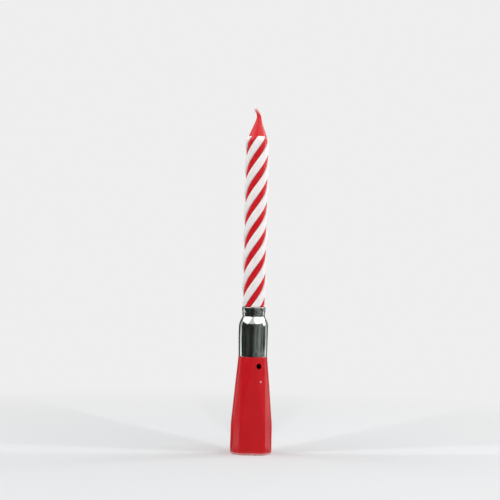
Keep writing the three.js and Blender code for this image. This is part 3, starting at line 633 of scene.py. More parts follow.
def red_wax(base):
    """Dyed wax: a little light passes in, with paler bloom, small pits and a satin skin. Its red is darker at
    the ribs' feet, as painted shade in the creases.
    """
    made = Finish(
        "red_wax_finish", IOR=WAX_IOR, Specular_IOR_Level=0.3, Subsurface_Weight=0.12, Subsurface_Scale=0.0012
    )
    made.shader.inputs["Subsurface Radius"].default_value = (1.0, 0.25, 0.2)
    bloom = made.spread(made.noise(0.5, detail=4, distortion=0.4), 0.4, 0.75)
    # Painted shade: the crease attribute darkens the red towards each rib's foot.
    deep = made.mix(made.attribute("crease"), tinted(base, 1), tinted(base, 0.4))
    made.colour(made.mix(made.calculate("MULTIPLY", bloom, 0.16), deep, tinted(base, 0.75, (1, 0.45, 0.42))))
    made.roughness(made.spread(made.noise(1.6, detail=3), 0.3, 0.7, 0.14, 0.26))
    made.bump(made.noise(0.9, detail=2), 0.02)
    return made.bump(made.noise(7, detail=3), 0.0025).material


def white_wax(base, red):
    """White wax: faintly pink where it meets the red, with soft clouding and a satin skin."""
    made = Finish("white_wax_finish", IOR=WAX_IOR, Subsurface_Weight=0.15, Subsurface_Scale=0.0015)
    made.shader.inputs["Subsurface Radius"].default_value = (1.0, 0.8, 0.75)
    stain = made.calculate("MULTIPLY", made.attribute("edge"), made.noise(0.6, detail=3))
    cloud = made.spread(made.noise(0.7, detail=3, distortion=0.5), 0.4, 0.7)
    body = made.mix(cloud, tuple(base), tinted(base, 0.955))
    made.colour(made.mix(made.calculate("MULTIPLY", stain, 0.5), body, tinted(red, 0.5, base)))
    made.roughness(made.spread(made.noise(1.6, detail=3), 0.3, 0.7, 0.3, 0.46))
    made.bump(made.noise(0.9, detail=2), 0.018)
    return made.bump(made.noise(7, detail=3), 0.0025).material


def waxed_cotton(base, red):
    """Cotton soaked in the candle's wax: pink, redder at its root and paler at its end."""
    made = Finish("wick_finish", IOR=WAX_IOR, Subsurface_Weight=0.1, Subsurface_Scale=0.001)
    fibre = made.noise(3.5, detail=4, stretch=(1, 1, 3))
    body = made.mix(made.attribute("dipped"), tuple(base), tinted(red, 0.85, (1, 0.3, 0.3)))
    pale = made.mix(made.attribute("end"), body, tinted(base, 0.55, (1, 0.92, 0.9)))
    made.colour(made.mix(made.spread(fibre, 0.35, 0.7, 0, 0.4), pale, tinted(base, 0.7)))
    made.roughness(made.spread(fibre, 0.3, 0.7, 0.4, 0.65))
    return made.bump(fibre, 0.04).material


def bright_metal(base):
    """Plated drawn metal: a clear mirror with faint cloudy places and fine lines along the draw."""
    made = Finish("bright_metal_finish", Metallic=1.0)
    cloud = made.spread(made.noise(0.25, detail=3), 0.35, 0.7)
    made.colour(made.mix(cloud, tinted(base, 1), tinted(base, 0.86)))
    drawn = made.noise(1.2, detail=4, stretch=(1, 1, 14))
    made.roughness(made.spread(drawn, 0.3, 0.8, 0.07, 0.17))
    return made.bump(drawn, 0.0012).material


def clear_plastic(name):
    """Clear plastic: it lets light through, with a faint grain in its polish."""
    made = Finish(name, IOR=PLASTIC_IOR, Transmission_Weight=1.0)
    haze = made.spread(made.noise(1.5, detail=3), 0.3, 0.7)
    made.colour(made.mix(haze, (0.93, 0.96, 0.97, 1), (0.97, 0.98, 0.98, 1)))
    made.roughness(made.spread(haze, 0, 1, 0.02, 0.08))
    return made.bump(made.noise(3), 0.001).material


def grained(name, base, per_mm, gloss, depth, metallic=0.0, shade=0.9, stretch=(1, 1, 1)):
    """A finish whose colour, roughness and fine relief all vary with one grain."""
    made = Finish(name, Metallic=metallic)
    grain = made.noise(per_mm, detail=4, stretch=stretch)
    made.colour(made.mix(made.spread(grain, 0.3, 0.7), tinted(base, 1), tinted(base, shade)))
    made.roughness(made.spread(grain, 0.3, 0.7, *gloss))
    return made.bump(grain, depth).material


def solder_finish(works):
    """Solder: bright, a little frosted, with shallow ripples."""
    return grained("solder_finish", works.solder, 1.8, (0.2, 0.4), 0.02, metallic=1.0, shade=0.82)


# The candle


def rib_middle(candle, number, z):
    """The direction of a rib's middle at height z: it turns evenly as it rises, right-handed."""
    start = -QUARTER_TURN + FULL_TURN * number / candle.rib_count
    return start + FULL_TURN * (z - candle.rib_phase) / candle.rib_lead


def cone_radius(candle, z):
    """The red wax's radius: even up to the shoulder, then drawn in to the tip by a rounded curve.

    The curve is a power of 1 less a power of the rise.
    """
    rise = np.clip((z - candle.shoulder_z) / (CONE_TOP_Z - candle.shoulder_z), 0, 1)
    return candle.tip_radius + (candle.core_radius - candle.tip_radius) * (1 - rise**1.6) ** 1.85


def wick_x(candle, z):
    """How far right the wick is at height z.

    It leans out as a power of the rise over the wax's shoulder, and then bends left as a parabola.
    """
    lean_z = CONE_TOP_Z - candle.wick_lean_drop
    lean = candle.wick_lean * np.clip((z - candle.shoulder_z) / (lean_z - candle.shoulder_z), 0, 1) ** 2.2
    bend = np.clip((z - lean_z) / (wick_end_z(candle) - lean_z), 0, None) ** 2
    return lean - (candle.wick_lean + candle.wick_overhang) * bend


def wick_end_z(candle):
    """The height of the wick's end, on its middle line."""
    return high("wick") - candle.wick_radius * 0.5


def wick_radius(candle, z):
    """The dipped wick's radius: it tapers from the cone's tip to its end, by a power of the rise."""
    share_up = np.clip((z - CONE_TOP_Z) / (wick_end_z(candle) - CONE_TOP_Z), 0, 1)
    return candle.wick_radius * (1.3 - 0.3 * share_up**0.8)


class CANDLE_OT_red_wax(bpy.types.Operator):
    """Makes the red wax: a round core with four raised bands, drawn up into a smooth cone"""

    bl_idname = "candle.red_wax"
    bl_label = "Red wax"

    def execute(self, context):
        candle = context.scene.candle_wax
        points, crease = self.rows(candle)
        # The crease goes to the mesh as the mask of the shade painted beside the ribs.
        skin = Skin().add(points, crease=crease)
        top, centre = high("light_guide") + 0.3 * MM, (0, middle("light_guide", 1))
        bore = rod(candle.guide_bore, WAX_FOOT_Z - MM, top, 24, centre)
        mesh = smoothed(cut(skin.mesh("twisted_wax"), bore), 60)
        add_piece("twisted_wax", mesh, red_wax(candle.red), "candle", "wax_core", slot="red_wax")
        return {"FINISHED"}

    @staticmethod
    def rows(candle):
        """Rings up the wax, and its crease, the mask of painted shade: how near a point is to the foot of a
        rib, from 0 to 1.

        Between two ribs a band bulges by 1 less a power of the way across it. Above the cone's top the
        wax thins to a film that hugs the wick.
        """
        around = all_round(192)[None, :]
        spigot = candle.core_radius - candle.spigot_step
        edge, seat_depth, rib_fade, unevenness = 0.3 * MM, 0.06 * MM, 1.6 * MM, 0.018 * MM
        bulge_power, crease_start = 2.4, 0.7
        film_foot, film_full, film_top = (CONE_TOP_Z + rise * MM for rise in (-1.1, 0.6, 0.9))
        heights = [
            [WAX_FOOT_Z, WAX_FOOT_Z + edge, FERRULE_TOP_Z - 1 * MM],
            np.linspace(FERRULE_TOP_Z - edge, candle.shoulder_z, 330),
            np.linspace(candle.shoulder_z, film_top, 100)[1:],
        ]
        z = np.concatenate(heights)[:, None]
        wick = wick_radius(candle, z) * 0.985
        film = smooth_step((z - film_foot) / (film_full - film_foot))
        radius = cone_radius(candle, z)
        radius = radius + (wick - radius) * film
        pitch = FULL_TURN / candle.rib_count
        offset = (around - rib_middle(candle, 0, z)) % pitch - pitch / 2
        red_half = pitch / 2 * (1 - candle.rib_share)
        across = np.clip(np.abs(offset) / red_half, 0, 1)
        above_rim = smooth_step((z - FERRULE_TOP_Z) / edge)
        in_body = above_rim * smooth_step((candle.shoulder_z + candle.rib_end - z) / rib_fade)
        bulge = candle.band_bulge * (1 - across**bulge_power) * in_body
        seat = np.where(np.abs(offset) > red_half, -seat_depth * in_body, 0)
        uneven = unevenness * wobble(around, z / (3 * MM), 3) * above_rim
        radius = radius + bulge + seat + uneven * (1 - film)
        radius = np.where(z < FERRULE_TOP_Z, spigot, radius)
        radius = np.where(z == WAX_FOOT_Z, spigot - edge, radius)
        # The crease masks the painted shade in the red next to each rib.
        crease = np.clip((across - crease_start) / (1 - crease_start), 0, 1) * in_body
        return polar(radius, around, z, wick_x(candle, z)), crease


class CANDLE_OT_white_ribs(bpy.types.Operator):
    """Makes the white ribs, which wind up the red wax and end flush with the cone"""

    bl_idname = "candle.white_ribs"
    bl_label = "White ribs"

    def execute(self, context):
        candle = context.scene.candle_wax
        finish = white_wax(candle.white, candle.red)
        for number in range(candle.rib_count):
            points, edge = self.rib(candle, number)
            name, node = (f"{word}_{number + 1}" for word in ("white_rib", "white_stripe"))
            skin = Skin().add(points, edge=edge)
            add_piece(name, skin, finish, "candle", node, slot="white_wax", crease=50)
        return {"FINISHED"}

    @staticmethod
    def rib(candle, number):
        """Rows up the rib, and how near a point is to the rib's edge, from 0 to 1.

        A row is a crowned section on the core, and a crown is the root of 1 less a power. Over the
        shoulder the rib keeps its width in degrees, follows the chamfer and ends blunt.
        """
        nose_length, foot_run, chamfer_gap, chamfer_run = 0.4 * MM, 0.35 * MM, 0.5 * MM, 1.9 * MM
        chamfer_share, crown_power, edge_start = 0.55, 3.2, 0.62
        end_z = candle.shoulder_z + candle.rib_end
        body_z = np.linspace(FERRULE_TOP_Z + 0.05 * MM, end_z - nose_length, 340)
        nose = np.sin(quarter(9)[1:])
        z = np.concatenate([body_z, end_z - nose_length + nose_length * nose])[:, None]
        blunt = np.concatenate([np.ones(len(body_z)), np.sqrt(1 - nose**2)])[:, None]
        foot = np.sqrt(np.clip((z - body_z[0]) / foot_run + 0.25, 0, 1))
        chamfer = smooth_step((z - candle.shoulder_z - chamfer_gap) / chamfer_run)
        height = candle.rib_height * (1 - chamfer_share * chamfer) * blunt * foot
        turn = FULL_TURN * number / candle.rib_count
        height = height * (1 + 0.03 * wobble(turn, z / (4 * MM), 11 + number))
        across = -np.cos(np.linspace(0, math.pi, 29))[None, :]
        half = math.pi * candle.rib_share / candle.rib_count
        half = half * (1 + 0.02 * wobble(turn, z / (5 * MM), 21 + number)) * (0.9 + 0.1 * blunt)
        crown = np.sqrt(1 - np.abs(across) ** crown_power)
        sunk, root = 0.04 * MM, 0.2 * MM
        core = cone_radius(candle, z) - sunk
        outer = core + (height + sunk) * crown
        inner_across = np.linspace(0.92, -0.92, 7)[None, :]
        inner = np.broadcast_to(core - root, (len(z), inner_across.shape[1]))
        radius = np.concatenate([outer, inner], axis=1)
        spread = np.concatenate([across, inner_across], axis=1)
        direction = rib_middle(candle, number, z) + half * spread
        edge = np.clip((np.abs(spread) - edge_start) / (1 - edge_start), 0, 1)
        return polar(radius, direction, z, wick_x(candle, z)), np.broadcast_to(edge, radius.shape)


class CANDLE_OT_wick(bpy.types.Operator):
    """Makes the wick: a braid dipped in wax, which stands out of the cone and bends to the left"""

    bl_idname = "candle.wick"
    bl_label = "Wick"

    def execute(self, context):
        candle = context.scene.candle_wax
        points, rise = self.rows(candle)
        skin = Skin().add(
            points,
            dipped=1 - smooth_step((rise - 0.1 * MM) / (0.7 * MM)),
            end=smooth_step((rise - 1.4 * MM) / (0.9 * MM)),
        )
        cotton = waxed_cotton(candle.wick, candle.red)
        add_piece("bent_wick", skin, cotton, "candle", "wick", slot="wick_cotton", crease=60)
        return {"FINISHED"}

    @staticmethod
    def rows(candle):
        """Rings along the wick, and their heights over the cone's top.

        The braid's strands cross as two sets of waves, and the end is rounded off.
        """
        root_z = CONE_TOP_Z - 4 * MM
        plait, slimmed, braid_depth, nose_share = 1.5 * MM, 0.98, 0.035, 0.8
        heights = root_z + (wick_end_z(candle) - root_z) * np.sin(quarter(120))
        line = np.stack([wick_x(candle, heights), np.zeros_like(heights), heights], axis=-1)
        steps = np.linalg.norm(np.diff(line, axis=0), axis=1)
        along = np.concatenate([[0], np.cumsum(steps)])[:, None]
        around = all_round(48)[None, :]
        pace = FULL_TURN * along / plait
        braid = np.cos(3 * around - pace) * np.cos(3 * around + pace)
        radius = wick_radius(candle, heights)[:, None]
        left = np.clip((along[-1] - along) / (radius * nose_share), 0, 1)
        nose = np.clip(np.sqrt(1 - (1 - left) ** 2), 0.02, 1)
        radius = radius * (slimmed + braid_depth * braid) * nose
        points = carried(line, (0, 1, 0), radius * np.cos(around), radius * np.sin(around))
        return points, (heights - CONE_TOP_Z)[:, None]


class CANDLE_OT_light_guide(bpy.types.Operator):
    """Makes the light guide: a clear fibre beside the wick, with polished ends"""

    bl_idname = "candle.light_guide"
    bl_label = "Light guide"

    def execute(self, context):
        candle = context.scene.candle_wax
        lowest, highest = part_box("light_guide")
        edge = 0.06 * MM
        inset = candle.guide_radius - edge
        radii = [inset, candle.guide_radius, candle.guide_radius, inset]
        heights = [lowest.z, lowest.z + edge, highest.z - edge, highest.z]
        rows = lathe(radii, heights, 32, (0, middle("light_guide", 1)))
        clear = clear_plastic("clear_fibre_finish")
        add_piece("clear_fibre", rows, clear, "candle", "light_guide", slot="clear_epoxy", crease=50)
        return {"FINISHED"}


# The ferrule


class CANDLE_OT_ferrule(bpy.types.Operator):
    """Makes the ferrule: barrel, rounded shoulder, collar and rolled rim, drawn from one tube"""

    bl_idname = "candle.ferrule"
    bl_label = "Ferrule"

    def execute(self, context):
        settings = context.scene.candle_ferrule
        radii, heights = self.profile(context.scene.candle_base, settings)
        around = all_round(240)[None, :]
        z = heights[:, None]
        collar_z = FERRULE_TOP_Z - settings.collar_height
        barrel = smooth_step((z - FERRULE_FOOT_Z) / (2 * MM)) * smooth_step((collar_z - z) / MM)
        collar = smooth_step((z - collar_z) / MM) * smooth_step((FERRULE_TOP_Z - 0.5 * MM - z) / MM)
        uneven = settings.dent * wobble(around, z / (4 * MM), 5) * barrel
        ripple = settings.crinkle * wobble(3 * around, z / (0.7 * MM), 8) * collar
        radius = radii[:, None] + uneven + ripple
        skin = Skin().add(polar(radius, around, z), ring=True)
        finish = bright_metal(settings.metal)
        add_piece("drawn_ferrule", skin, finish, "housing", "ferrule", slot="bright_metal", crease=50)
        return {"FINISHED"}

    @staticmethod
    def profile(base, settings):
        """Radii and heights up the outside and down the inside. The shoulder is 1 less a power."""
        swell_power, shoulder_power, roll_in = 0.8, 1.75, 0.72
        collar = base.socket_radius + settings.wall
        foot = base.shoulder_radius
        barrel = foot + settings.swell
        collar_z = FERRULE_TOP_Z - settings.collar_height
        barrel_z = collar_z - settings.shoulder_height
        rise = np.linspace(0, 1, 40)
        turn = quarter(6)
        lip = 0.12 * MM
        rim = settings.rim_flare
        edge_r = foot - lip + lip * np.sin(turn)
        edge_z = FERRULE_FOOT_Z + lip - lip * np.cos(turn)
        wall_z = np.linspace(FERRULE_FOOT_Z + lip, barrel_z, 60)[1:]
        wall_r = foot + settings.swell * np.linspace(0, 1, 60)[1:] ** swell_power
        shoulder_r = collar + (barrel - collar) * (1 - rise[1:] ** shoulder_power)
        shoulder_z = barrel_z + settings.shoulder_height * rise[1:]
        neck_z = np.linspace(collar_z, FERRULE_TOP_Z - rim, 40)[1:]
        neck_r = collar + rim * smooth_step((neck_z - collar_z) / settings.collar_height / 0.9)
        roll = np.linspace(0, math.pi, 12)[1:]
        roll_r = collar + rim - roll_in * rim * (1 - np.cos(roll))
        roll_z = FERRULE_TOP_Z - rim + rim * np.sin(roll)
        outer_r = np.concatenate([edge_r, wall_r, shoulder_r, neck_r, roll_r])
        outer_z = np.concatenate([edge_z, wall_z, shoulder_z, neck_z, roll_z])
        inside_z = np.array([collar_z, barrel_z + settings.shoulder_height * 0.5, barrel_z, FERRULE_FOOT_Z])
        inside_r = np.array([collar, (collar + barrel) / 2 + 0.3 * MM, barrel, foot]) - settings.wall
        return np.concatenate([outer_r, inside_r]), np.concatenate([outer_z, inside_z])


# The base


FOOT_HALF_WIDTH = high("foot_lid", 0)
FOOT_HALF_DEPTH = high("foot_lid", 1)


def outline(base, inset):
    """The foot's six-sided outline, inset, as x, y and facing direction of points, anticlockwise.

    Its flat front and back and its four leaning sides meet in arcs. An arc's centre lies where the two
    sides cross, each moved in by the arc's radius.
    """
    lean = base.side_lean
    side = (FOOT_HALF_WIDTH - base.ridge_radius) * math.cos(lean) + base.ridge_radius
    ways = [lean, QUARTER_TURN, math.pi - lean, math.pi + lean, 3 * QUARTER_TURN]
    ways += [FULL_TURN - lean, FULL_TURN + lean]
    reaches = [side, FOOT_HALF_DEPTH, side, side, FOOT_HALF_DEPTH, side, side]
    radii = [base.corner_radius, base.corner_radius, base.ridge_radius] * 2
    made = []
    for i, corner in enumerate(radii):
        radius = max(corner - inset, 0.2 * MM)
        near, far = reaches[i] - inset - radius, reaches[i + 1] - inset - radius
        spread = math.sin(ways[i + 1] - ways[i])
        x = (near * math.sin(ways[i + 1]) - far * math.sin(ways[i])) / spread
        y = (far * math.cos(ways[i]) - near * math.cos(ways[i + 1])) / spread
        facing = np.linspace(ways[i], ways[i + 1], 41)
        made.append(np.stack([x + radius * np.cos(facing), y + radius * np.sin(facing), facing]))
    return np.concatenate(made, axis=1)


def foot_share(base, z):
    """How far the section at height z has gone from the shoulder's circle, 0, to the outline, 1.

    It grows evenly down to the skirt, with a parabola between the slope and the straight skirt.
    """
    run = FERRULE_FOOT_Z - base.skirt_top
    soft = base.skirt_blend / run
    grown = (FERRULE_FOOT_Z - np.asarray(z, float)) / run
    blended = 1 - np.clip(1 + soft - grown, 0, 2 * soft) ** 2 / (4 * soft)
    return np.where(grown < 1 - soft, np.clip(grown, 0, 1), blended)


def columns(base, spacing, fine=None):
    """Places along the outline, in steps of about the spacing, and of a third of it in a fine part.

    A place is a point number of the outline, with its share of the way to the next. The fine part is a
    range of x on the front.
    """
    x, y, facing = closed(outline(base, 0))
    mid_x = 0.6 * x + 0.4 * base.shoulder_radius * np.cos(facing)
    mid_y = 0.6 * y + 0.4 * base.shoulder_radius * np.sin(facing)
    lengths = np.hypot(np.diff(mid_x), np.diff(mid_y))
    density = np.full(len(lengths), 1 / spacing)
    if fine:
        middle_x = (mid_x[1:] + mid_x[:-1]) / 2
        density[(mid_y[1:] < 0) & (middle_x > fine[0]) & (middle_x < fine[1])] *= 3
    total = np.concatenate([[0], np.cumsum(lengths * density)])
    return np.interp(np.linspace(0, total[-1], int(total[-1]), endpoint=False), total, np.arange(len(total)))


def closed(points):
    """The outline with its first point again at the end, a full turn on."""
    first = points[:, :1] + np.array([[0], [0], [FULL_TURN]])
    return np.concatenate([points, first], axis=1)


def base_rings(base, places, z, inset):
    """Rings of the base's section at heights z and insets: the circle and the outline, by their shares.

    Returns points and the direction that each faces.
    """
    rows, facings = [], []
    for height, step_in in zip(z, np.broadcast_to(inset, len(z))):
        whole = closed(outline(base, step_in))
        x, y, facing = (np.interp(places, np.arange(whole.shape[1]), part) for part in whole)
        part = foot_share(base, height)
        ring = (base.shoulder_radius - step_in) * (1 - part)
        rows.append(polar(ring, facing, height, part * x, part * y))
        facings.append(facing)
    return np.stack(rows), np.stack(facings)


def front_place(base, x, z):
    """The point of the base's front at x and z, and the direction that it faces."""
    points, facings = base_rings(base, columns(base, 0.1 * MM), [z], 0)
    front = points[0][:, 1] < 0
    nearest = np.argmin(np.where(front, np.abs(points[0][:, 0] - x), 1))
    facing = facings[0][nearest]
    return points[0][nearest], np.array([math.cos(facing), math.sin(facing), 0])


def moulding_mark(base):
    """The place on the front where the mould was filled."""
    return front_place(base, base.gate_mark_x, FERRULE_FOOT_Z - base.gate_mark_drop)[0]


class CANDLE_OT_housing(bpy.types.Operator):
    """Makes the housing: one red moulding from its six-sided skirt to the neck and its socket"""

    bl_idname = "candle.housing"
    bl_label = "Housing"

    def execute(self, context):
        base = context.scene.candle_base
        mesh = Skin().add(self.rows(base)).mesh("moulded_housing")
        mesh = smoothed(cut(mesh, self.sound_cutter(base), self.guide_cutter(base)), 40)
        finish = red_plastic(base.red, moulding_mark(base))
        add_piece("moulded_housing", mesh, finish, "housing", "housing", slot="red_plastic")
        return {"FINISHED"}

    @staticmethod
    def sound_cutter(base):
        """A round bore whose radius grows as a square near the surface, for a softly rounded mouth."""
        mouth, way = front_place(base, base.sound_hole_x, FERRULE_FOOT_Z - base.sound_hole_drop)
        flare_foot, flare_run, flare_out, bore_step = -0.3 * MM, 0.4 * MM, 0.14 * MM, 0.08 * MM
        depth = np.array([-4, -0.3, -0.22, -0.14, -0.06, 0.02, 0.1, 0.2, 2]) * MM
        flare = np.clip((depth - flare_foot) / flare_run, 0, 1.6) ** 2 * flare_out
        return aimed(lathe(base.sound_hole - bore_step + flare, depth, 48), mouth, way)

    @staticmethod
    def guide_cutter(base):
        """A straight bore through the socket's floor, for the light guide."""
        foot, top = low("light_guide") - MM, high("housing") - MM
        return rod(base.guide_hole, foot, top, centre=(0, middle("light_guide", 1)))

    def rows(self, base):
        """Rings up the cavity's side from its roof to the seam, up the outside and into the socket.

        Read in order: the cavity downwards, the lower edge, the outer face, the shoulder, the neck, its
        rounded rim and the socket. The two ends close the socket's floor from both sides.
        """
        places = columns(base, 0.2 * MM, (0.6 * MM, 4.6 * MM))
        neck_top = high("housing")
        floor_top = low("wax_core") - 0.3 * MM
        floor_under = floor_top - base.socket_floor
        seam_turn = quarter(5)
        mark_z = FERRULE_FOOT_Z - base.gate_mark_drop
        hole_z = FERRULE_FOOT_Z - base.sound_hole_drop
        even_z = np.arange(LID_TOP_Z + 0.4 * MM, FERRULE_FOOT_Z - 0.2 * MM, 0.4 * MM)
        mark_zone = np.arange(-1.3, 1.3, 0.1) * MM + mark_z
        hole_zone = np.arange(-1.7, 1.7, 0.17) * MM + hole_z
        outer_z = np.unique(np.concatenate([even_z, mark_zone, hole_zone]).round(6))
        cavity_z = np.linspace(FERRULE_FOOT_Z - base.wall, LID_TOP_Z + base.seam, 46)

        def circle(radius, heights):
            """Rings round the axis, in the same columns as the outline's."""
            facing = base_rings(base, places, [FERRULE_FOOT_Z], 0)[1]
            heights = np.asarray(heights, float)[:, None]
            radius = np.broadcast_to(np.asarray(radius, float).reshape(-1, 1), (len(heights), 1))
            return polar(radius, facing, heights)

        roof = circle(base.socket_radius, [floor_under, FERRULE_FOOT_Z + 0.3 * MM])
        cavity, _ = base_rings(base, places, cavity_z, base.wall)
        seam_in = base.seam * (1 - np.sin(seam_turn))
        seam_up = base.seam * (1 - np.cos(seam_turn))
        inner_seam, _ = base_rings(base, places, (LID_TOP_Z + seam_up)[::-1], base.wall - seam_in[::-1])
        outer_seam, _ = base_rings(base, places, LID_TOP_Z + seam_up, seam_in)
        outside, facing = base_rings(base, places, outer_z, 0)
        outside = self.moulded(base, outside, facing)
        wide, narrow, bevel, fillet = base.shoulder_radius, base.neck_radius, 0.05 * MM, 0.1 * MM
        shoulder = circle(
            [wide, wide - bevel, narrow + fillet, narrow],
            [FERRULE_FOOT_Z - bevel, FERRULE_FOOT_Z, FERRULE_FOOT_Z, FERRULE_FOOT_Z + fillet],
        )
        roll = np.linspace(0, math.pi, 9)
        rim_edge = 0.3 * MM
        rim_r = np.where(roll < QUARTER_TURN, base.neck_radius - rim_edge, base.socket_radius + rim_edge)
        rim = circle(rim_r + rim_edge * np.cos(roll), neck_top - rim_edge + rim_edge * np.sin(roll))
        socket = circle(base.socket_radius, [floor_top + 0.1 * MM, floor_top + 0.0001 * MM])
        socket[-1, :, :2] *= 1 - 0.1 * MM / base.socket_radius
        return np.concatenate([roof, cavity, inner_seam, outer_seam, outside, shoulder, rim, socket])

    @staticmethod
    def moulded(base, points, facing):
        """Moves the outer face a little: uneven shrinkage, and the mark where the moulding was filled.

        The mark is a shallow dish with a small dome in its middle.
        """
        dish_depth, dome_height, shrinkage = 0.14 * MM, 0.5 * MM, 0.02 * MM
        z = points[..., 2]
        away = np.linalg.norm(points - moulding_mark(base), axis=-1)
        dish = -dish_depth * (1 - smooth_step((away / base.gate_mark - 0.55) / 0.45))
        dome = dome_height * np.clip(1 - (away / (0.5 * base.gate_mark)) ** 2, 0, 1) ** 0.7
        shrunk = shrinkage * wobble(facing, z / (5 * MM), 31, waves=7)
        run = 2 * MM
        fade = smooth_step((z - LID_TOP_Z) / run) * smooth_step((FERRULE_FOOT_Z - z) / run)
        moved = dish + dome + shrunk * fade
        way = np.stack([np.cos(facing), np.sin(facing), np.zeros_like(facing)], axis=-1)
        return points + moved[..., None] * way


class CANDLE_OT_foot_lid(bpy.types.Operator):
    """Makes the foot lid: a plate with a rounded lower edge, a pry notch and two curved lugs"""

    bl_idname = "candle.foot_lid"
    bl_label = "Foot lid"

    def execute(self, context):
        base = context.scene.candle_base
        places = columns(base, 0.2 * MM)
        turn = quarter(9)
        seam_turn = quarter(5)
        edge_in = base.lid_round * (1 - np.sin(turn))
        edge_z = base.lid_round * (1 - np.cos(turn))
        seam_in = base.seam * (1 - np.cos(seam_turn))
        seam_z = LID_TOP_Z - base.seam + base.seam * np.sin(seam_turn)
        insets = np.concatenate([[edge_in[0] + 0.8 * MM], edge_in, seam_in, [base.seam + 0.8 * MM]])
        heights = np.concatenate([[0], edge_z, seam_z, [LID_TOP_Z]])
        flat, _ = base_rings(base, places, np.full(len(heights), LID_TOP_Z), insets)
        flat[..., 2] = heights[:, None]
        notch_half, notch_deep, notch_high, notch_edge = 2 * MM, 1.2 * MM, 0.6 * MM, 0.25 * MM
        notch = brick(
            (-notch_half, FOOT_HALF_DEPTH - notch_deep, LID_TOP_Z - notch_high),
            (notch_half, FOOT_HALF_DEPTH + MM, LID_TOP_Z + MM),
            notch_edge,
        )
        mark_radius, mark_depth, mark_x = 1 * MM, 0.05 * MM, 4.4 * MM
        marks = [rod(mark_radius, -0.1 * MM, mark_depth, centre=(x, 0)) for x in (-mark_x, mark_x)]
        lid = smoothed(cut(Skin().add(flat).mesh("lid_plate"), notch, *marks), 40)
        lugs = Skin().add(self.lug(base, -1)).add(self.lug(base, 1))
        finish = red_plastic(base.red, moulding_mark(base))
        add_piece("lid_plate", lid, finish, "foot", "foot_lid", slot="red_plastic")
        add_piece("lid_lugs", lugs, finish, "foot", slot="red_plastic", crease=40)
        return {"FINISHED"}

    @staticmethod
    def lug(base, side):
        """A wall that stands on the plate just inside the housing, along the ridge at one end."""
        thickness = 0.9 * MM
        clear_of_cup = high("carrier", 0) + 0.3 * MM
        inset = base.wall + 0.3 * MM + thickness / 2
        points, _ = base_rings(base, columns(base, 0.25 * MM), [LID_TOP_Z], inset)
        ridge = points[0][points[0][:, 0] * side > clear_of_cup]
        ridge = ridge[np.argsort(ridge[:, 1])]
        top = high("foot_lid")
        foot = LID_TOP_Z - 0.2 * MM
        ridge[:, 2] = (top + foot) / 2
        return bar(ridge, (0, 0, 1), top - foot, thickness, 0.2 * MM)


# The works inside the base


def slab(loop, rear, front, edge):
    """Rows through a plate that stands across Y, from an outline of x and z, with bevelled edges.

    The bevel moves each point in along the outline's normal, which is square to its neighbours' line.
    """
    along = np.roll(loop, -1, axis=0) - np.roll(loop, 1, axis=0)
    outward = np.stack([along[:, 1], -along[:, 0]], axis=-1)
    outward = outward / np.linalg.norm(outward, axis=1)[:, None]
    rows = []
    for y, inset in ((rear, edge), (rear - edge, 0), (front + edge, 0), (front, edge)):
        x, z = (loop - inset * outward).T
        rows.append(np.stack([x, np.full(len(x), y), z], axis=-1))
    return np.stack(rows)


def upright_disc(node, radius, edge, front=None, rear=None, hole=0):
    """Rows of a disc or ring across Y with rounded edges, where a node stands."""
    front = low(node, 1) if front is None else front
    rear = high(node, 1) if rear is None else rear
    turn = quarter(4)
    out = radius - edge + edge * np.sin(turn)
    up = edge * (1 - np.cos(turn))
    radii, depths = [*out, *out[::-1]], [*up, *(rear - front - up[::-1])]
    if hole:
        radii += [hole + edge, hole, hole, hole + edge]
        depths += [rear - front, rear - front - edge, edge, 0]
    return aimed(lathe(radii, depths, 72), (0, front, middle(node)), (0, 1, 0))


def solder_dome(centre, way, radius, height):
    """Rows of a drop of solder: nearly a quarter of an ellipse, turned about the way that it faces."""
    turn = np.linspace(0, 1.5, 7)
    radii = [radius, *(radius * np.cos(turn) ** 0.8)]
    heights = [-0.05 * MM, *(height * np.sin(turn))]
    return aimed(lathe(radii, heights, 28), centre, way)


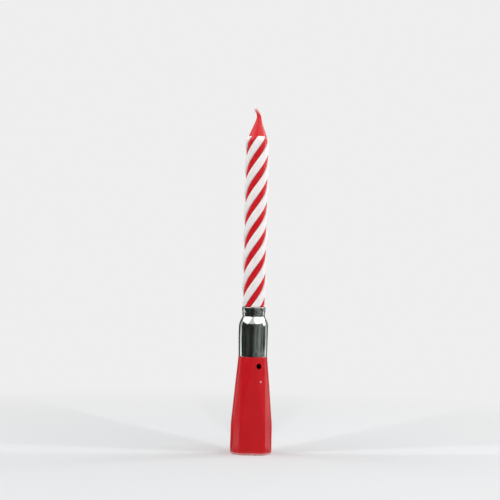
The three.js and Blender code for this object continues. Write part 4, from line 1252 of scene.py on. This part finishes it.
class CANDLE_OT_carrier(bpy.types.Operator):
    """Makes the carrier: the cells' cup with two slotted posts and a crossbar for the board"""

    bl_idname = "candle.carrier"
    bl_label = "Carrier"

    def execute(self, context):
        works = context.scene.candle_works
        finish = grained("carrier_finish", works.carrier, 0.8, (0.38, 0.5), 0.006, shade=0.95)
        meshes = (self.cup(works), self.posts(works), self.crossbar(works))
        for mesh, nodes in zip(meshes, (["carrier"], [], [])):
            add_piece(mesh.name, smoothed(mesh, 40), finish, "foot", *nodes, slot="carrier_plastic")
        return {"FINISHED"}

    @staticmethod
    def cup(works):
        """Rings up the outside, over a round rim and down the inside to the floor, less a slot in front."""
        outside, foot_z = high("cell_upper", 0) + works.room + works.cup_wall, low("carrier")
        inside, floor_z = outside - works.cup_wall, foot_z + works.cup_wall
        top_z = high("cell_upper") - works.cup_drop
        edge = works.cup_wall / 2
        small = 0.25 * MM
        over = np.linspace(0, math.pi, 13)
        under = quarter(4)
        radii = [outside - small + small * np.sin(under), outside - edge + edge * np.cos(over)]
        heights = [foot_z + small - small * np.cos(under), top_z - edge + edge * np.sin(over)]
        radii.append([inside, inside - small])
        heights.append([floor_z + small, floor_z])
        skin = Skin().add(lathe(np.concatenate(radii), np.concatenate(heights), 96))
        half = high("contact_lower", 0) + works.room
        slot = brick((-half, -outside - MM, floor_z), (half, MM - inside, top_z + MM), 0.1 * MM)
        return cut(skin.mesh("carrier_cup"), slot)

    @staticmethod
    def posts(works):
        """Two upright blocks outside the cells, each with a slot that holds one edge of the board."""
        (_, front, foot), (reach, rear, _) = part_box("circuit_board")
        wall, room = works.post_wall, works.room
        top = high("carrier")
        skin = Skin()
        for side in (-1, 1):
            near, far = sorted((side * (reach - room - wall), side * (reach + room + wall)))
            lowest = (near, front - room - wall, low("carrier") + works.cup_wall)
            skin.add(brick(lowest, (far, rear + room + wall, top), 0.18 * MM))
        near, far = (-reach - room, front - room, foot - room), (reach + room, rear + room, top + MM)
        slot = brick(near, far, 0.05 * MM)
        well = rod(high("cell_upper", 0) + room, low("carrier"), top + MM, 96)
        return cut(skin.mesh("carrier_posts"), well, slot)

    @staticmethod
    def crossbar(works):
        """A bar between the posts, in front of the board, with a bore for the screw."""
        front = low("circuit_board", 1) - works.room
        reach = high("circuit_board", 0) + works.room
        screw_z = middle("board_screw")
        half = works.crossbar_height / 2
        lowest = (-reach, front - works.crossbar_depth, screw_z - half)
        skin = Skin().add(brick(lowest, (reach, front, screw_z + half), 0.2 * MM))
        pilot = aimed(rod(works.screw_bore, -3 * MM, 3 * MM), (0, front, screw_z), (0, 1, 0))
        return cut(skin.mesh("carrier_crossbar"), pilot)


class CANDLE_OT_cells(bpy.types.Operator):
    """Makes the two button cells: a crimped can, a sealing ring and the cap that it holds"""

    bl_idname = "candle.cells"
    bl_label = "Button cells"

    def execute(self, context):
        works = context.scene.candle_works
        steel = grained("cell_finish", works.steel, 0.5, (0.16, 0.3), 0.002, metallic=1.0, shade=0.85)
        gasket = grained("seal_finish", works.gasket, 1.5, (0.45, 0.6), 0.004)
        for node in ("cell_lower", "cell_upper"):
            cap, lip = works.cap_radius, works.cap_radius + works.seal_width
            foot = low(node)
            can = Skin().add(self.can(works, node, lip)).add(self.cap(works, foot))
            add_piece(f"{node}_can", can, steel, "foot", node, slot="steel", crease=40)
            level = foot + works.cap_height
            radii = [cap, cap, (cap + lip) / 2, lip, lip]
            heights = [level + 0.2 * MM, level - 0.03 * MM, level - 0.07 * MM, level, level + 0.2 * MM]
            seal = Skin().add(lathe(radii, heights, 96), ring=True)
            add_piece(f"{node}_seal", seal, gasket, "foot", slot="carrier_plastic", crease=60)
        return {"FINISHED"}

    @staticmethod
    def can(works, node, lip):
        """Rings from the crimped lip, round it and up the side, to a top with a shallow stamped step."""
        radius, level, top = high(node, 0), low(node) + works.cap_height, high(node)
        turn = quarter(7)
        crimp, brow, stamp = radius - lip, 0.3 * MM, 0.06 * MM
        radii = [[lip], lip + crimp * np.sin(turn), radius - brow + brow * np.cos(turn)]
        heights = [[level + 0.3 * MM], level + crimp * (1 - np.cos(turn)), top - brow + brow * np.sin(turn)]
        radii.append([0.82 * radius, 0.8 * radius, 0.3 * radius])
        heights.append([top, top - stamp, top - stamp])
        return lathe(np.concatenate(radii), np.concatenate(heights), 96)

    @staticmethod
    def cap(works, foot):
        """Rings from the cap's flat face round its edge and up to where the seal holds it."""
        turn = quarter(5)
        edge = 0.2 * MM
        radii = [0.4 * works.cap_radius, *(works.cap_radius - edge + edge * np.sin(turn)), works.cap_radius]
        heights = [foot, *(foot + edge - edge * np.cos(turn)), foot + works.cap_height + 0.2 * MM]
        return lathe(radii, heights, 96)


class CANDLE_OT_contacts(bpy.types.Operator):
    """Makes the two sheet-metal contacts, bent from flat strip"""

    bl_idname = "candle.contacts"
    bl_label = "Contacts"

    def execute(self, context):
        works = context.scene.candle_works
        finish = grained(
            "contact_finish", works.brass, 0.7, (0.2, 0.36), 0.003, metallic=1.0, shade=0.8, stretch=(6, 1, 1)
        )
        for node, path in (("contact_lower", self.lower(works)), ("contact_upper", self.upper(works))):
            line = rounded([(0, y, z) for y, z in path], 0.7 * MM)
            strip = bar(line, (1, 0, 0), 2 * high(node, 0), works.metal_sheet, 0.06 * MM)
            add_piece(f"bent_{node}", strip, finish, "foot", node, slot="brass", crease=40)
        return {"FINISHED"}

    @staticmethod
    def lower(works):
        """Under the cells, up the cup's slot and back to the board, as y and z."""
        half = works.metal_sheet / 2
        (_, riser_y, floor_z), (_, start_y, top_z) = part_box("contact_lower")
        board_y = low("circuit_board", 1) - half
        bridge_z = low("circuit_board") + half + works.room
        path = [(start_y, floor_z + half), (riser_y + half, floor_z + half), (riser_y + half, bridge_z)]
        return [*path, (board_y, bridge_z), (board_y, top_z)]

    @staticmethod
    def upper(works):
        """Down the board's rear and forward onto the upper cell, as y and z."""
        half, sag = works.metal_sheet / 2, works.contact_sag
        (_, tip_y, touch_z), (_, rear_y, top_z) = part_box("contact_upper")
        touch_z += half
        path = [(rear_y - half, top_z), (rear_y - half, touch_z + sag)]
        path += [(low("circuit_board", 1), touch_z + 0.3 * sag), (0.25 * tip_y, touch_z)]
        return [*path, (0.63 * tip_y, touch_z + 0.2 * sag), (tip_y + 0.1 * MM, touch_z + 0.7 * sag)]


class CANDLE_OT_board(bpy.types.Operator):
    """Makes the circuit board with its raised copper traces, and the screw that holds it"""

    bl_idname = "candle.board"
    bl_label = "Circuit board"

    def execute(self, context):
        works = context.scene.candle_works
        green = grained("board_finish", works.board, 2.5, (0.28, 0.42), 0.004, shade=0.82, stretch=(1, 1, 2))
        lines = grained("trace_finish", works.trace, 1.5, (0.3, 0.45), 0.003, shade=0.85)
        steel = grained("screw_finish", works.steel, 1.5, (0.2, 0.35), 0.002, metallic=1.0, shade=0.8)
        add_piece("green_board", self.plate(works), green, "foot", "circuit_board", slot="board_green")
        traces = Skin()
        for face, routes in (
            (low("circuit_board", 1), self.front_routes(works)),
            (high("circuit_board", 1), self.rear_routes(works)),
        ):
            for route in routes:
                for side in (-1, 1):
                    line = rounded([(side * x, face, z) for x, z in route], 0.5 * MM, 3)
                    traces.add(bar(line, (0, 1, 0), 2 * works.copper, works.trace_width, 0.02 * MM))
        add_piece("copper_traces", traces, lines, "foot", slot="board_green", crease=40)
        screw = smoothed(self.screw(works), 40)
        add_piece("cross_screw", screw, steel, "foot", "board_screw", slot="steel")
        return {"FINISHED"}

    @staticmethod
    def plate(works):
        """The stepped outline with rounded corners, less the screw's hole."""
        (_, front, foot), (wide, rear, top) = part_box("circuit_board")
        step, narrow = top - works.board_step, works.board_top_half
        right = [(wide, foot), (wide, step - works.board_slope), (narrow, step), (narrow, top)]
        corners = [(0, foot), *right, *((-x, z) for x, z in reversed(right)), (0, foot)]
        skin = Skin().add(slab(rounded(corners, 0.5 * MM, 4)[:-1], rear, front, 0.06 * MM))
        bore = rod(works.screw_bore, -2 * MM, 2 * MM)
        hole = aimed(bore, (0, rear, middle("board_screw")), (0, 1, 0))
        return smoothed(cut(skin.mesh("green_board"), hole), 40)

    @staticmethod
    def front_routes(works):
        """The right-hand traces on the front as x and z: from the wires' pad down to the contact."""
        foot, top = low("circuit_board"), high("circuit_board")
        step_z, pad_z = top - works.board_step, top - works.wire_pad_drop
        inner, outer = works.board_top_half - 0.8 * MM, high("circuit_board", 0) - 1.5 * MM
        down = [(works.wire_pad_x, pad_z), (inner, pad_z - MM), (inner, step_z)]
        return [[*down, (outer, step_z - 3 * MM), (outer, foot + 2 * MM)]]

    @staticmethod
    def rear_routes(works):
        """The right-hand traces on the rear as x and z: from the lead, the edge and the chip."""
        chip_z, chip = middle("melody_chip"), high("melody_chip", 0)
        foot, top = low("circuit_board"), high("circuit_board")
        step_z, parts_foot = top - works.board_step, low("transistor")
        lead_x, lead_z = middle("photodiode_lead_right", 0), low("photodiode_lead_right")
        inner, outer = works.board_top_half - 0.8 * MM, high("circuit_board", 0) - 1.5 * MM
        lead = [(lead_x, lead_z + 0.6 * MM), (lead_x, lead_z - 1.5 * MM), (0.4 * MM, parts_foot + 2 * MM)]
        lead += [(0.4 * MM, parts_foot - 0.8 * MM), (0.5 * chip, chip_z + 0.6 * chip)]
        fan = [(0.9 * chip, chip_z), (outer, chip_z - 0.4 * chip), (outer, foot + MM)]
        edge = [(inner, top - 1.5 * MM), (inner, step_z - MM), (outer, parts_foot + MM)]
        edge += [(outer, chip_z + 0.5 * chip), (0.8 * chip, chip_z + 0.3 * chip)]
        return [lead, fan, edge]

    @staticmethod
    def screw(works):
        """A pan head with a cross recess over a threaded shank, whose thread is a wave round it."""
        (_, foot, _), (head, top, _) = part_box("board_screw")
        seat = high("circuit_board", 1) - foot
        shank, side = works.screw_radius, 0.4 * (top - foot - seat)
        turn = np.linspace(0, 1.4, 8)
        depths = [[0, 0.5 * shank], np.linspace(shank, seat - 0.01 * MM, 60), [seat, seat + side]]
        depths.append(seat + side + 1.5 * side * np.sin(turn[1:]))
        radii = [[0.3 * shank, 0.7 * shank], np.full(60, shank), [head - 0.05 * MM, head]]
        radii.append(head * np.cos(turn[1:]) ** 0.5)
        depth = np.concatenate(depths)
        rows = lathe(np.concatenate(radii), depth, 48)
        around = all_round(48)[None, :]
        thread = np.cos(around - FULL_TURN * depth[:, None] / (0.45 * MM))
        on_shank = ((depth > shank) & (depth < seat))[:, None]
        rows[..., :2] *= (1 - 0.08 * (1 - thread) * on_shank)[..., None]
        z = middle("board_screw")
        skin = Skin().add(aimed(rows, (0, foot, z), (0, 1, 0)))
        reach, half, deep = 0.6 * head, 0.17 * MM, 0.4 * MM
        level = brick((-reach, top - deep, z - half), (reach, top + MM, z + half), 0.03 * MM)
        upright = brick((-half, top - deep, z - reach), (half, top + MM, z + reach), 0.03 * MM)
        return cut(skin.mesh("cross_screw"), level, upright)


class CANDLE_OT_board_parts(bpy.types.Operator):
    """Makes what is soldered on the board's rear: chip, transistor, resistor and capacitor"""

    bl_idname = "candle.board_parts"
    bl_label = "Board parts"

    def execute(self, context):
        works = context.scene.candle_works
        black = grained("epoxy_finish", works.epoxy, 1.2, (0.14, 0.3), 0.008, shade=0.7)
        tan = grained("capacitor_finish", works.tan, 3, (0.4, 0.55), 0.004, shade=0.88)
        ends = Skin()
        self.add_legs(ends)
        bodies = [
            ("epoxy_drop", "melody_chip", self.chip(), black, "black_epoxy"),
            ("transistor_body", "transistor", brick(*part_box("transistor"), 0.14 * MM), black, "black_epoxy"),
            ("resistor_body", "resistor", self.capped("resistor", ends), black, "black_epoxy"),
            ("capacitor_body", "capacitor", self.capped("capacitor", ends), tan, "tan_ceramic"),
        ]
        for name, node, rows, material, slot in bodies:
            add_piece(name, rows, material, "foot", node, slot=slot, crease=50)
        add_piece("metal_ends", ends, solder_finish(works), "foot", slot="steel")
        return {"FINISHED"}

    @staticmethod
    def chip():
        """A drop of epoxy: a flattened dome whose edge has crept out unevenly."""
        (_, rear, _), (radius, front, _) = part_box("melody_chip")
        turn = np.linspace(0, 1.52, 20)
        rows = lathe(radius * np.cos(turn) ** 0.75, (front - rear) * np.sin(turn) ** 0.9, 96)
        around = all_round(96)[None, :]
        rows[..., :2] *= (0.965 + 0.03 * np.clip(wobble(around, 0, 41), -1, 1))[..., None]
        return aimed(rows, (0, rear, middle("melody_chip")), (0, 1, 0))

    @staticmethod
    def add_legs(skin):
        """Adds the transistor's three bent legs: two on its left and one on its right."""
        lowest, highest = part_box("transistor")
        for side, share_up in ((-1, 0.2), (-1, 0.8), (1, 0.5)):
            z = lowest.z + share_up * (highest.z - lowest.z)
            root = lowest.x if side < 0 else highest.x
            path = [(-0.2, 0.5), (0.25, 0.5), (0.3, 0.1), (0.6, 0.1)]
            line = rounded([(root + side * x * MM, lowest.y + y * MM, z) for x, y in path], 0.15 * MM, 3)
            skin.add(bar(line, (0, 0, 1), 0.4 * MM, 0.14 * MM, 0.03 * MM))

    @staticmethod
    def capped(node, skin):
        """The rows of a block-shaped part's body. Its two metal ends are added to the skin."""
        lowest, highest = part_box(node)
        metal, thin = 0.38 * MM, 0.03 * MM
        skin.add(brick(lowest, (lowest.x + metal, highest.y, highest.z), 0.08 * MM))
        skin.add(brick((highest.x - metal, lowest.y, lowest.z), highest, 0.08 * MM))
        near = (lowest.x + 0.7 * metal, lowest.y, lowest.z + thin)
        return brick(near, (highest.x - 0.7 * metal, highest.y - thin, highest.z - thin), 0.06 * MM)


class CANDLE_OT_photodiode(bpy.types.Operator):
    """Makes the photodiode: a clear lens over its die, on two leads"""

    bl_idname = "candle.photodiode"
    bl_label = "Photodiode"

    def execute(self, context):
        works = context.scene.candle_works
        seat = high("photodiode") - works.lens_radius - 0.5 * MM
        clear = clear_plastic("clear_lens_finish")
        add_piece("clear_lens", self.lens(works), clear, "foot", "photodiode", slot="clear_epoxy", crease=40)
        steel = grained("lead_finish", works.steel, 1.2, (0.22, 0.38), 0.003, metallic=1.0, shade=0.82)
        for side in ("left", "right"):
            node = f"photodiode_lead_{side}"
            lowest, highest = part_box(node)
            post = brick(lowest, (highest.x, highest.y, seat), 0.05 * MM)
            add_piece(f"lead_{side}", post, steel, "foot", node, slot="steel")
        y = middle("photodiode", 1)
        left, right = middle("photodiode_lead_left", 0), middle("photodiode_lead_right", 0)
        half, wire = 0.5 * MM, 0.04 * MM
        near, far = (left - 0.4 * half, y - half, seat), (left + 2 * half, y + half, seat + half / 2)
        bond = [(0, y, seat + half / 2), (0.4 * MM, y, seat + 0.6 * MM), (right, y, seat)]
        die = Skin().add(brick(near, far, 0.03 * MM)).add(tube(rounded(bond, MM), (0, 1, 0), wire, 8))
        dark = grained("die_finish", works.die, 4, (0.15, 0.3), 0.002, shade=0.8)
        add_piece("diode_die", die, dark, "foot", slot="black_epoxy")
        return {"FINISHED"}

    @staticmethod
    def lens(works):
        """Rings up the rim at the foot, in to the lens and over its round end."""
        foot, top, flange = low("photodiode"), high("photodiode"), high("photodiode", 0)
        radius, rim, edge = works.lens_radius, foot + works.lens_rim, 0.05 * MM
        turn = np.linspace(0, 1.54, 24)
        radii = [flange - edge, flange, flange, flange - edge, radius, *(radius * np.cos(turn))]
        heights = [foot, foot + edge, rim - edge, rim, rim, *(top - radius + radius * np.sin(turn))]
        return lathe(radii, heights, 64, (0, middle("photodiode", 1)))


class CANDLE_OT_sounder(bpy.types.Operator):
    """Makes the sounder: a foam ring, a brass disc, its ceramic layer and the silver on that"""

    bl_idname = "candle.sounder"
    bl_label = "Sounder"

    def execute(self, context):
        works = context.scene.candle_works
        foam = grained("foam_finish", works.foam, 4, (0.85, 1.0), 0.09, shade=0.86)
        brass = grained(
            "disc_finish", works.brass, 0.6, (0.18, 0.32), 0.002, metallic=1.0, shade=0.84, stretch=(8, 1, 1)
        )
        ceramic = grained("ceramic_finish", works.ceramic, 3, (0.5, 0.65), 0.003, shade=0.93)
        silver = grained("silver_finish", works.solder, 2, (0.3, 0.45), 0.003, metallic=1.0, shade=0.88)
        pad_radius = high("sounder_pad", 0)
        pad = upright_disc("sounder_pad", pad_radius, 0.15 * MM, hole=pad_radius - works.pad_wall)
        add_piece("foam_ring", Skin().add(pad, ring=True), foam, "foot", "sounder_pad", slot="white_foam")
        edge, film, bare_rim = 0.04 * MM, 0.03 * MM, 0.35 * MM
        disc = upright_disc("sounder_disc", high("sounder_disc", 0), edge)
        add_piece("brass_disc", disc, brass, "foot", "sounder_disc", slot="brass")
        radius, front = high("sounder_ceramic", 0), low("sounder_ceramic", 1)
        layer = upright_disc("sounder_ceramic", radius, edge, front=front + film)
        add_piece("ceramic_layer", layer, ceramic, "foot", "sounder_ceramic", slot="sounder_ceramic")
        coat = upright_disc("sounder_ceramic", radius - bare_rim, film / 2, front, front + 2 * film)
        add_piece("silver_coat", coat, silver, "foot", slot="steel")
        return {"FINISHED"}


class CANDLE_OT_wires(bpy.types.Operator):
    """Makes the sounder's two wires, and the solder that joins them, the leads and the contacts"""

    bl_idname = "candle.wires"
    bl_label = "Wires and solder"

    def execute(self, context):
        works = context.scene.candle_works
        front = low("circuit_board", 1)
        forward, backward = (0, -1, 0), (0, 1, 0)
        ceramic_x, disc_x = high("sounder_ceramic", 0), high("sounder_disc", 0)
        solder = Skin()
        for name, side, x, face, tint in (
            ("red", 1, ceramic_x / 2, low("sounder_ceramic", 1), works.wire_red),
            ("black", -1, -(ceramic_x + disc_x) / 2, low("sounder_disc", 1), works.wire_black),
        ):
            line = self.route(works, side, x, face)
            wire = tube(line, (1, 0, 0), works.wire_radius, 20)
            finish = grained(f"{name}_wire_finish", tint, 1.5, (0.32, 0.45), 0.004, shade=0.85)
            node, slot = f"sounder_wire_{name}", f"wire_{name}"
            add_piece(f"{name}_wire", wire, finish, "foot", node, slot=slot, crease=60)
            solder.add(solder_dome((x, face, line[0][2]), forward, 0.62 * MM, 0.45 * MM))
            solder.add(solder_dome((line[-1][0], front, line[-1][2]), forward, 0.7 * MM, 0.45 * MM))
        for node in ("photodiode_lead_left", "photodiode_lead_right"):
            spot = (middle(node, 0), high("circuit_board", 1), low(node) + 0.5 * MM)
            solder.add(solder_dome(spot, backward, 0.75 * MM, 0.55 * MM))
        for x in (-0.7 * MM, 0.7 * MM):
            lower = (x, front - works.metal_sheet, high("contact_lower") - 0.6 * MM)
            upper = (x, high("contact_upper", 1), high("contact_upper") - 0.6 * MM)
            solder.add(solder_dome(lower, forward, 0.5 * MM, 0.25 * MM))
            solder.add(solder_dome(upper, backward, 0.5 * MM, 0.25 * MM))
        add_piece("solder_joints", solder, solder_finish(works), "foot", slot="steel", crease=50)
        return {"FINISHED"}

    @staticmethod
    def route(works, side, x, face):
        """The wire's middle, from the sounder's face out in front of it and up to its pad."""
        start_z = middle("sounder_disc") + works.wire_pad_x
        pad_z = high("circuit_board") - works.wire_pad_drop
        pad_x, out, front = side * works.wire_pad_x, works.wire_reach, low("circuit_board", 1)
        rise = pad_z - start_z
        points = [
            (x, face - 0.1 * MM, start_z),
            (x, face - 0.5 * out, start_z),
            ((2 * x + pad_x) / 3, face - out, start_z + 0.35 * rise),
            (pad_x, face - out, start_z + 0.8 * rise),
            (pad_x, front - 0.5 * out, pad_z),
            (pad_x, front - 0.1 * MM, pad_z),
        ]
        return rounded(points, 1.4 * MM, 10)


# The stage


class CANDLE_OT_stage(bpy.types.Operator):
    """Makes the camera, the pale floor, the world, the soft lamps and the cards for reflections"""

    bl_idname = "candle.stage"
    bl_label = "Stage"

    def execute(self, context):
        settings = context.scene.candle_stage
        scene = context.scene
        scene.view_settings.view_transform = "Standard"
        self.camera(scene, settings)
        self.floor(settings)
        self.world(scene, settings)
        self.lamps(settings)
        self.cards(settings)
        return {"FINISHED"}

    @staticmethod
    def camera(scene, settings):
        """A level camera, turned round the candle's axis, that stands a little beside it and is rolled."""
        data = bpy.data.cameras.new("camera")
        data.sensor_width = 36
        data.lens = data.sensor_width * settings.focal_pixels / FRAME_PIXELS
        data.clip_start, data.clip_end = 0.01, 50
        camera = linked("camera", data)
        cosine, sine = math.cos(settings.turn), math.sin(settings.turn)
        camera.location = (
            settings.camera_x * cosine + settings.distance * sine,
            settings.camera_x * sine - settings.distance * cosine,
            settings.camera_z,
        )
        camera.rotation_euler = (QUARTER_TURN, settings.roll, settings.turn)
        scene.camera = camera

    @staticmethod
    def floor(settings):
        """A round floor whose rim curves up, so that no edge shows behind the object.

        Away from the object it shows the backdrop's brightness to the camera and to mirrors.
        """
        flat, bend, top = 1.2, 1.2, 2.2
        turn = quarter(24)[1:]
        radii = np.concatenate([[0.001, 0.2, 0.6, flat], flat + bend * np.sin(turn), [flat + bend]])
        heights = np.concatenate([[0, 0, 0, 0], bend * (1 - np.cos(turn)), [top]])
        points = lathe(radii, heights, 96)
        rows, columns, _ = points.shape
        made = Finish("floor_finish", Roughness=0.7)
        made.colour(made.mix(made.noise(0.02), tuple(settings.floor), tinted(settings.floor, 0.985)))
        away = made.node("ShaderNodeVectorMath", {0: made.place}, operation="LENGTH").outputs["Value"]
        plain = made.calculate("MULTIPLY", made.spread(away, 0.05, 0.3), seen(made.tree))
        shaders = {0: plain, 1: made.shader.outputs[0], 2: made.glow((1, 1, 1, 1), settings.backdrop)}
        made.surface(made.node("ShaderNodeMixShader", shaders).outputs[0])
        quads = grid_quads(rows, columns).tolist()
        floor = staged("floor", points, [*quads, list(range(columns))], made.material)
        floor.data.shade_smooth()

    @staticmethod
    def world(scene, settings):
        """An even pale world. The camera, mirrors and glass see it as bright as the backdrop."""
        world = bpy.data.worlds.new("world")
        scene.world = world
        world.use_nodes = True
        tree = world.node_tree
        tree.nodes.clear()
        values = {"Value": seen(tree), "To Min": settings.world, "To Max": settings.backdrop}
        strength = add_node(tree, "ShaderNodeMapRange", values).outputs["Result"]
        light = add_node(tree, "ShaderNodeBackground", {"Color": (1, 1, 1, 1), "Strength": strength})
        add_node(tree, "ShaderNodeOutputWorld", {"Surface": light.outputs[0]})

    @staticmethod
    def lamps(settings):
        """Two broad softboxes above the front and a rim light at the right.

        Azimuth is from the camera's side, positive to the right.
        """
        aim = Vector((0, 0, 0.055))
        distance = 0.6
        for name, azimuth, elevation, size, brightness in (
            ("softbox_left", -76, 47, (0.64, 0.4), 1.15),
            ("softbox_right", 57, 46, (0.88, 0.44), 1.05),
            ("rim_right", 118, 36, (0.12, 0.26), 3.4),
        ):
            turn, rise = math.radians(azimuth) + settings.turn, math.radians(elevation)
            level = math.cos(rise)
            way = Vector((math.sin(turn) * level, -math.cos(turn) * level, math.sin(rise)))
            data = bpy.data.lights.new(name, "AREA")
            data.shape = "RECTANGLE"
            data.size, data.size_y = size
            data.energy = brightness * settings.lamps * math.pi * size[0] * size[1]
            lamp = linked(name, data)
            lamp.location = aim + way * distance
            lamp.rotation_euler = way.to_track_quat("Z", "Y").to_euler()

    @staticmethod
    def card_finish(name, axis, span, glow, mottle):
        """A glow that only reflections see: it changes evenly along an axis, and is mottled like a room."""
        made = Finish(name, Roughness=1.0)
        along = made.node("ShaderNodeSeparateXYZ", {"Vector": made.place}).outputs[axis]
        patches = made.noise(0.05, detail=3, stretch=(6, 6, 1), distortion=0.8)
        strength = made.calculate(
            "MULTIPLY", made.spread(along, *span, *glow), made.spread(patches, 0.36, 0.68, *mottle)
        )
        made.surface(made.glow((0.93, 1, 0.96, 1), strength))
        return made.material

    def cards(self, settings):
        """Cards round the object, each an arc from one azimuth to another, with radii and heights.

        The dark ones lie on the floor and stand round it, with two gaps behind, and the pale ones are
        strips at the sides. Only reflections see them.
        """
        dark = self.card_finish("dark_card_finish", "X", (-0.08, 0.22), (0.03, 0.2), (0.3, 2.4))
        pale = self.card_finish("pale_card_finish", "Z", (0.018, 0.04), (1.3, 0.66), (0.85, 1.15))
        bright = self.card_finish("bright_card_finish", "Z", (0.085, 0.14), (0.3, 5), (0.6, 1.4))
        floor = ((0.012, 0.12, 0.26), (0.0005, 0.002, 0.004))
        wall = ((0.26, 0.3, 0.3), (0.004, 0.04, 0.2))
        strip = ((0.31, 0.31), (0.004, 0.2))
        high_strip = ((0.29, 0.29), (0.085, 0.21))
        steps = 48
        for name, finish, start, end, (radii, heights) in (
            ("front_floor_card", dark, -82, 98, floor),
            ("front_card", dark, -101, 110, wall),
            ("right_floor_card", dark, 114, 150, floor),
            ("right_card", dark, 128, 150, wall),
            ("back_floor_card", dark, 172, 188, floor),
            ("back_card", dark, 172, 188, wall),
            ("left_floor_card", dark, 210, 262, floor),
            ("left_card", dark, 210, 238, wall),
            ("left_strip", pale, -123, -101, strip),
            ("right_strip", pale, 109, 129, strip),
            ("upper_strip", bright, 86, 112, high_strip),
        ):
            direction = np.radians(np.linspace(start, end, steps)) + settings.turn - QUARTER_TURN
            points = polar(np.array(radii)[:, None], direction, np.array(heights)[:, None])
            quads = grid_quads(len(radii), steps, loop=False).tolist()
            card = staged(name, points, quads, finish)
            card.visible_camera = False
            card.visible_diffuse = False
            card.visible_shadow = False


def staged(name, points, faces, finish):
    """An open surface of the stage, through a grid of points."""
    mesh = bpy.data.meshes.new(name)
    mesh.from_pydata(points.reshape(-1, 3), [], faces)
    mesh.materials.append(finish)
    made = linked(name, mesh)
    return made


def seen(tree):
    """1 for rays from the camera and through mirrors and glass, otherwise 0."""
    ways = add_node(tree, "ShaderNodeLightPath").outputs
    total = ways["Is Camera Ray"]
    for way in ("Is Glossy Ray", "Is Transmission Ray"):
        total = add_node(tree, "ShaderNodeMath", {0: total, 1: ways[way]}, operation="MAXIMUM").outputs[0]
    return total


OPERATORS = (
    CANDLE_OT_red_wax,
    CANDLE_OT_white_ribs,
    CANDLE_OT_wick,
    CANDLE_OT_light_guide,
    CANDLE_OT_ferrule,
    CANDLE_OT_housing,
    CANDLE_OT_foot_lid,
    CANDLE_OT_carrier,
    CANDLE_OT_cells,
    CANDLE_OT_contacts,
    CANDLE_OT_board,
    CANDLE_OT_board_parts,
    CANDLE_OT_photodiode,
    CANDLE_OT_sounder,
    CANDLE_OT_wires,
    CANDLE_OT_stage,
)
SETTINGS = {
    "candle_wax": CandleSettings,
    "candle_ferrule": FerruleSettings,
    "candle_base": BaseSettings,
    "candle_works": WorksSettings,
    "candle_stage": StageSettings,
}


class CANDLE_PT_panel(bpy.types.Panel):
    """Lists the candle's pieces and their sizes and colours"""

    bl_idname = "CANDLE_PT_panel"
    bl_label = "Musical Birthday Candle"
    bl_space_type = "VIEW_3D"
    bl_region_type = "UI"
    bl_category = "Candle"

    def draw(self, context):
        for operator in OPERATORS:
            self.layout.operator(operator.bl_idname)
        for name, group in SETTINGS.items():
            box = self.layout.box()
            for key in group.__annotations__:
                box.prop(getattr(context.scene, name), key)


def register():
    for group in (*SETTINGS.values(), *OPERATORS, CANDLE_PT_panel):
        bpy.utils.register_class(group)
    for name, group in SETTINGS.items():
        setattr(bpy.types.Scene, name, PointerProperty(type=group))


def unregister():
    for name in SETTINGS:
        delattr(bpy.types.Scene, name)
    for group in (CANDLE_PT_panel, *reversed(OPERATORS), *SETTINGS.values()):
        bpy.utils.unregister_class(group)


def main():
    """Makes every piece."""
    register()
    for operator in OPERATORS:
        group, name = operator.bl_idname.split(".")
        getattr(getattr(bpy.ops, group), name)()


if __name__ == "__main__":
    main()
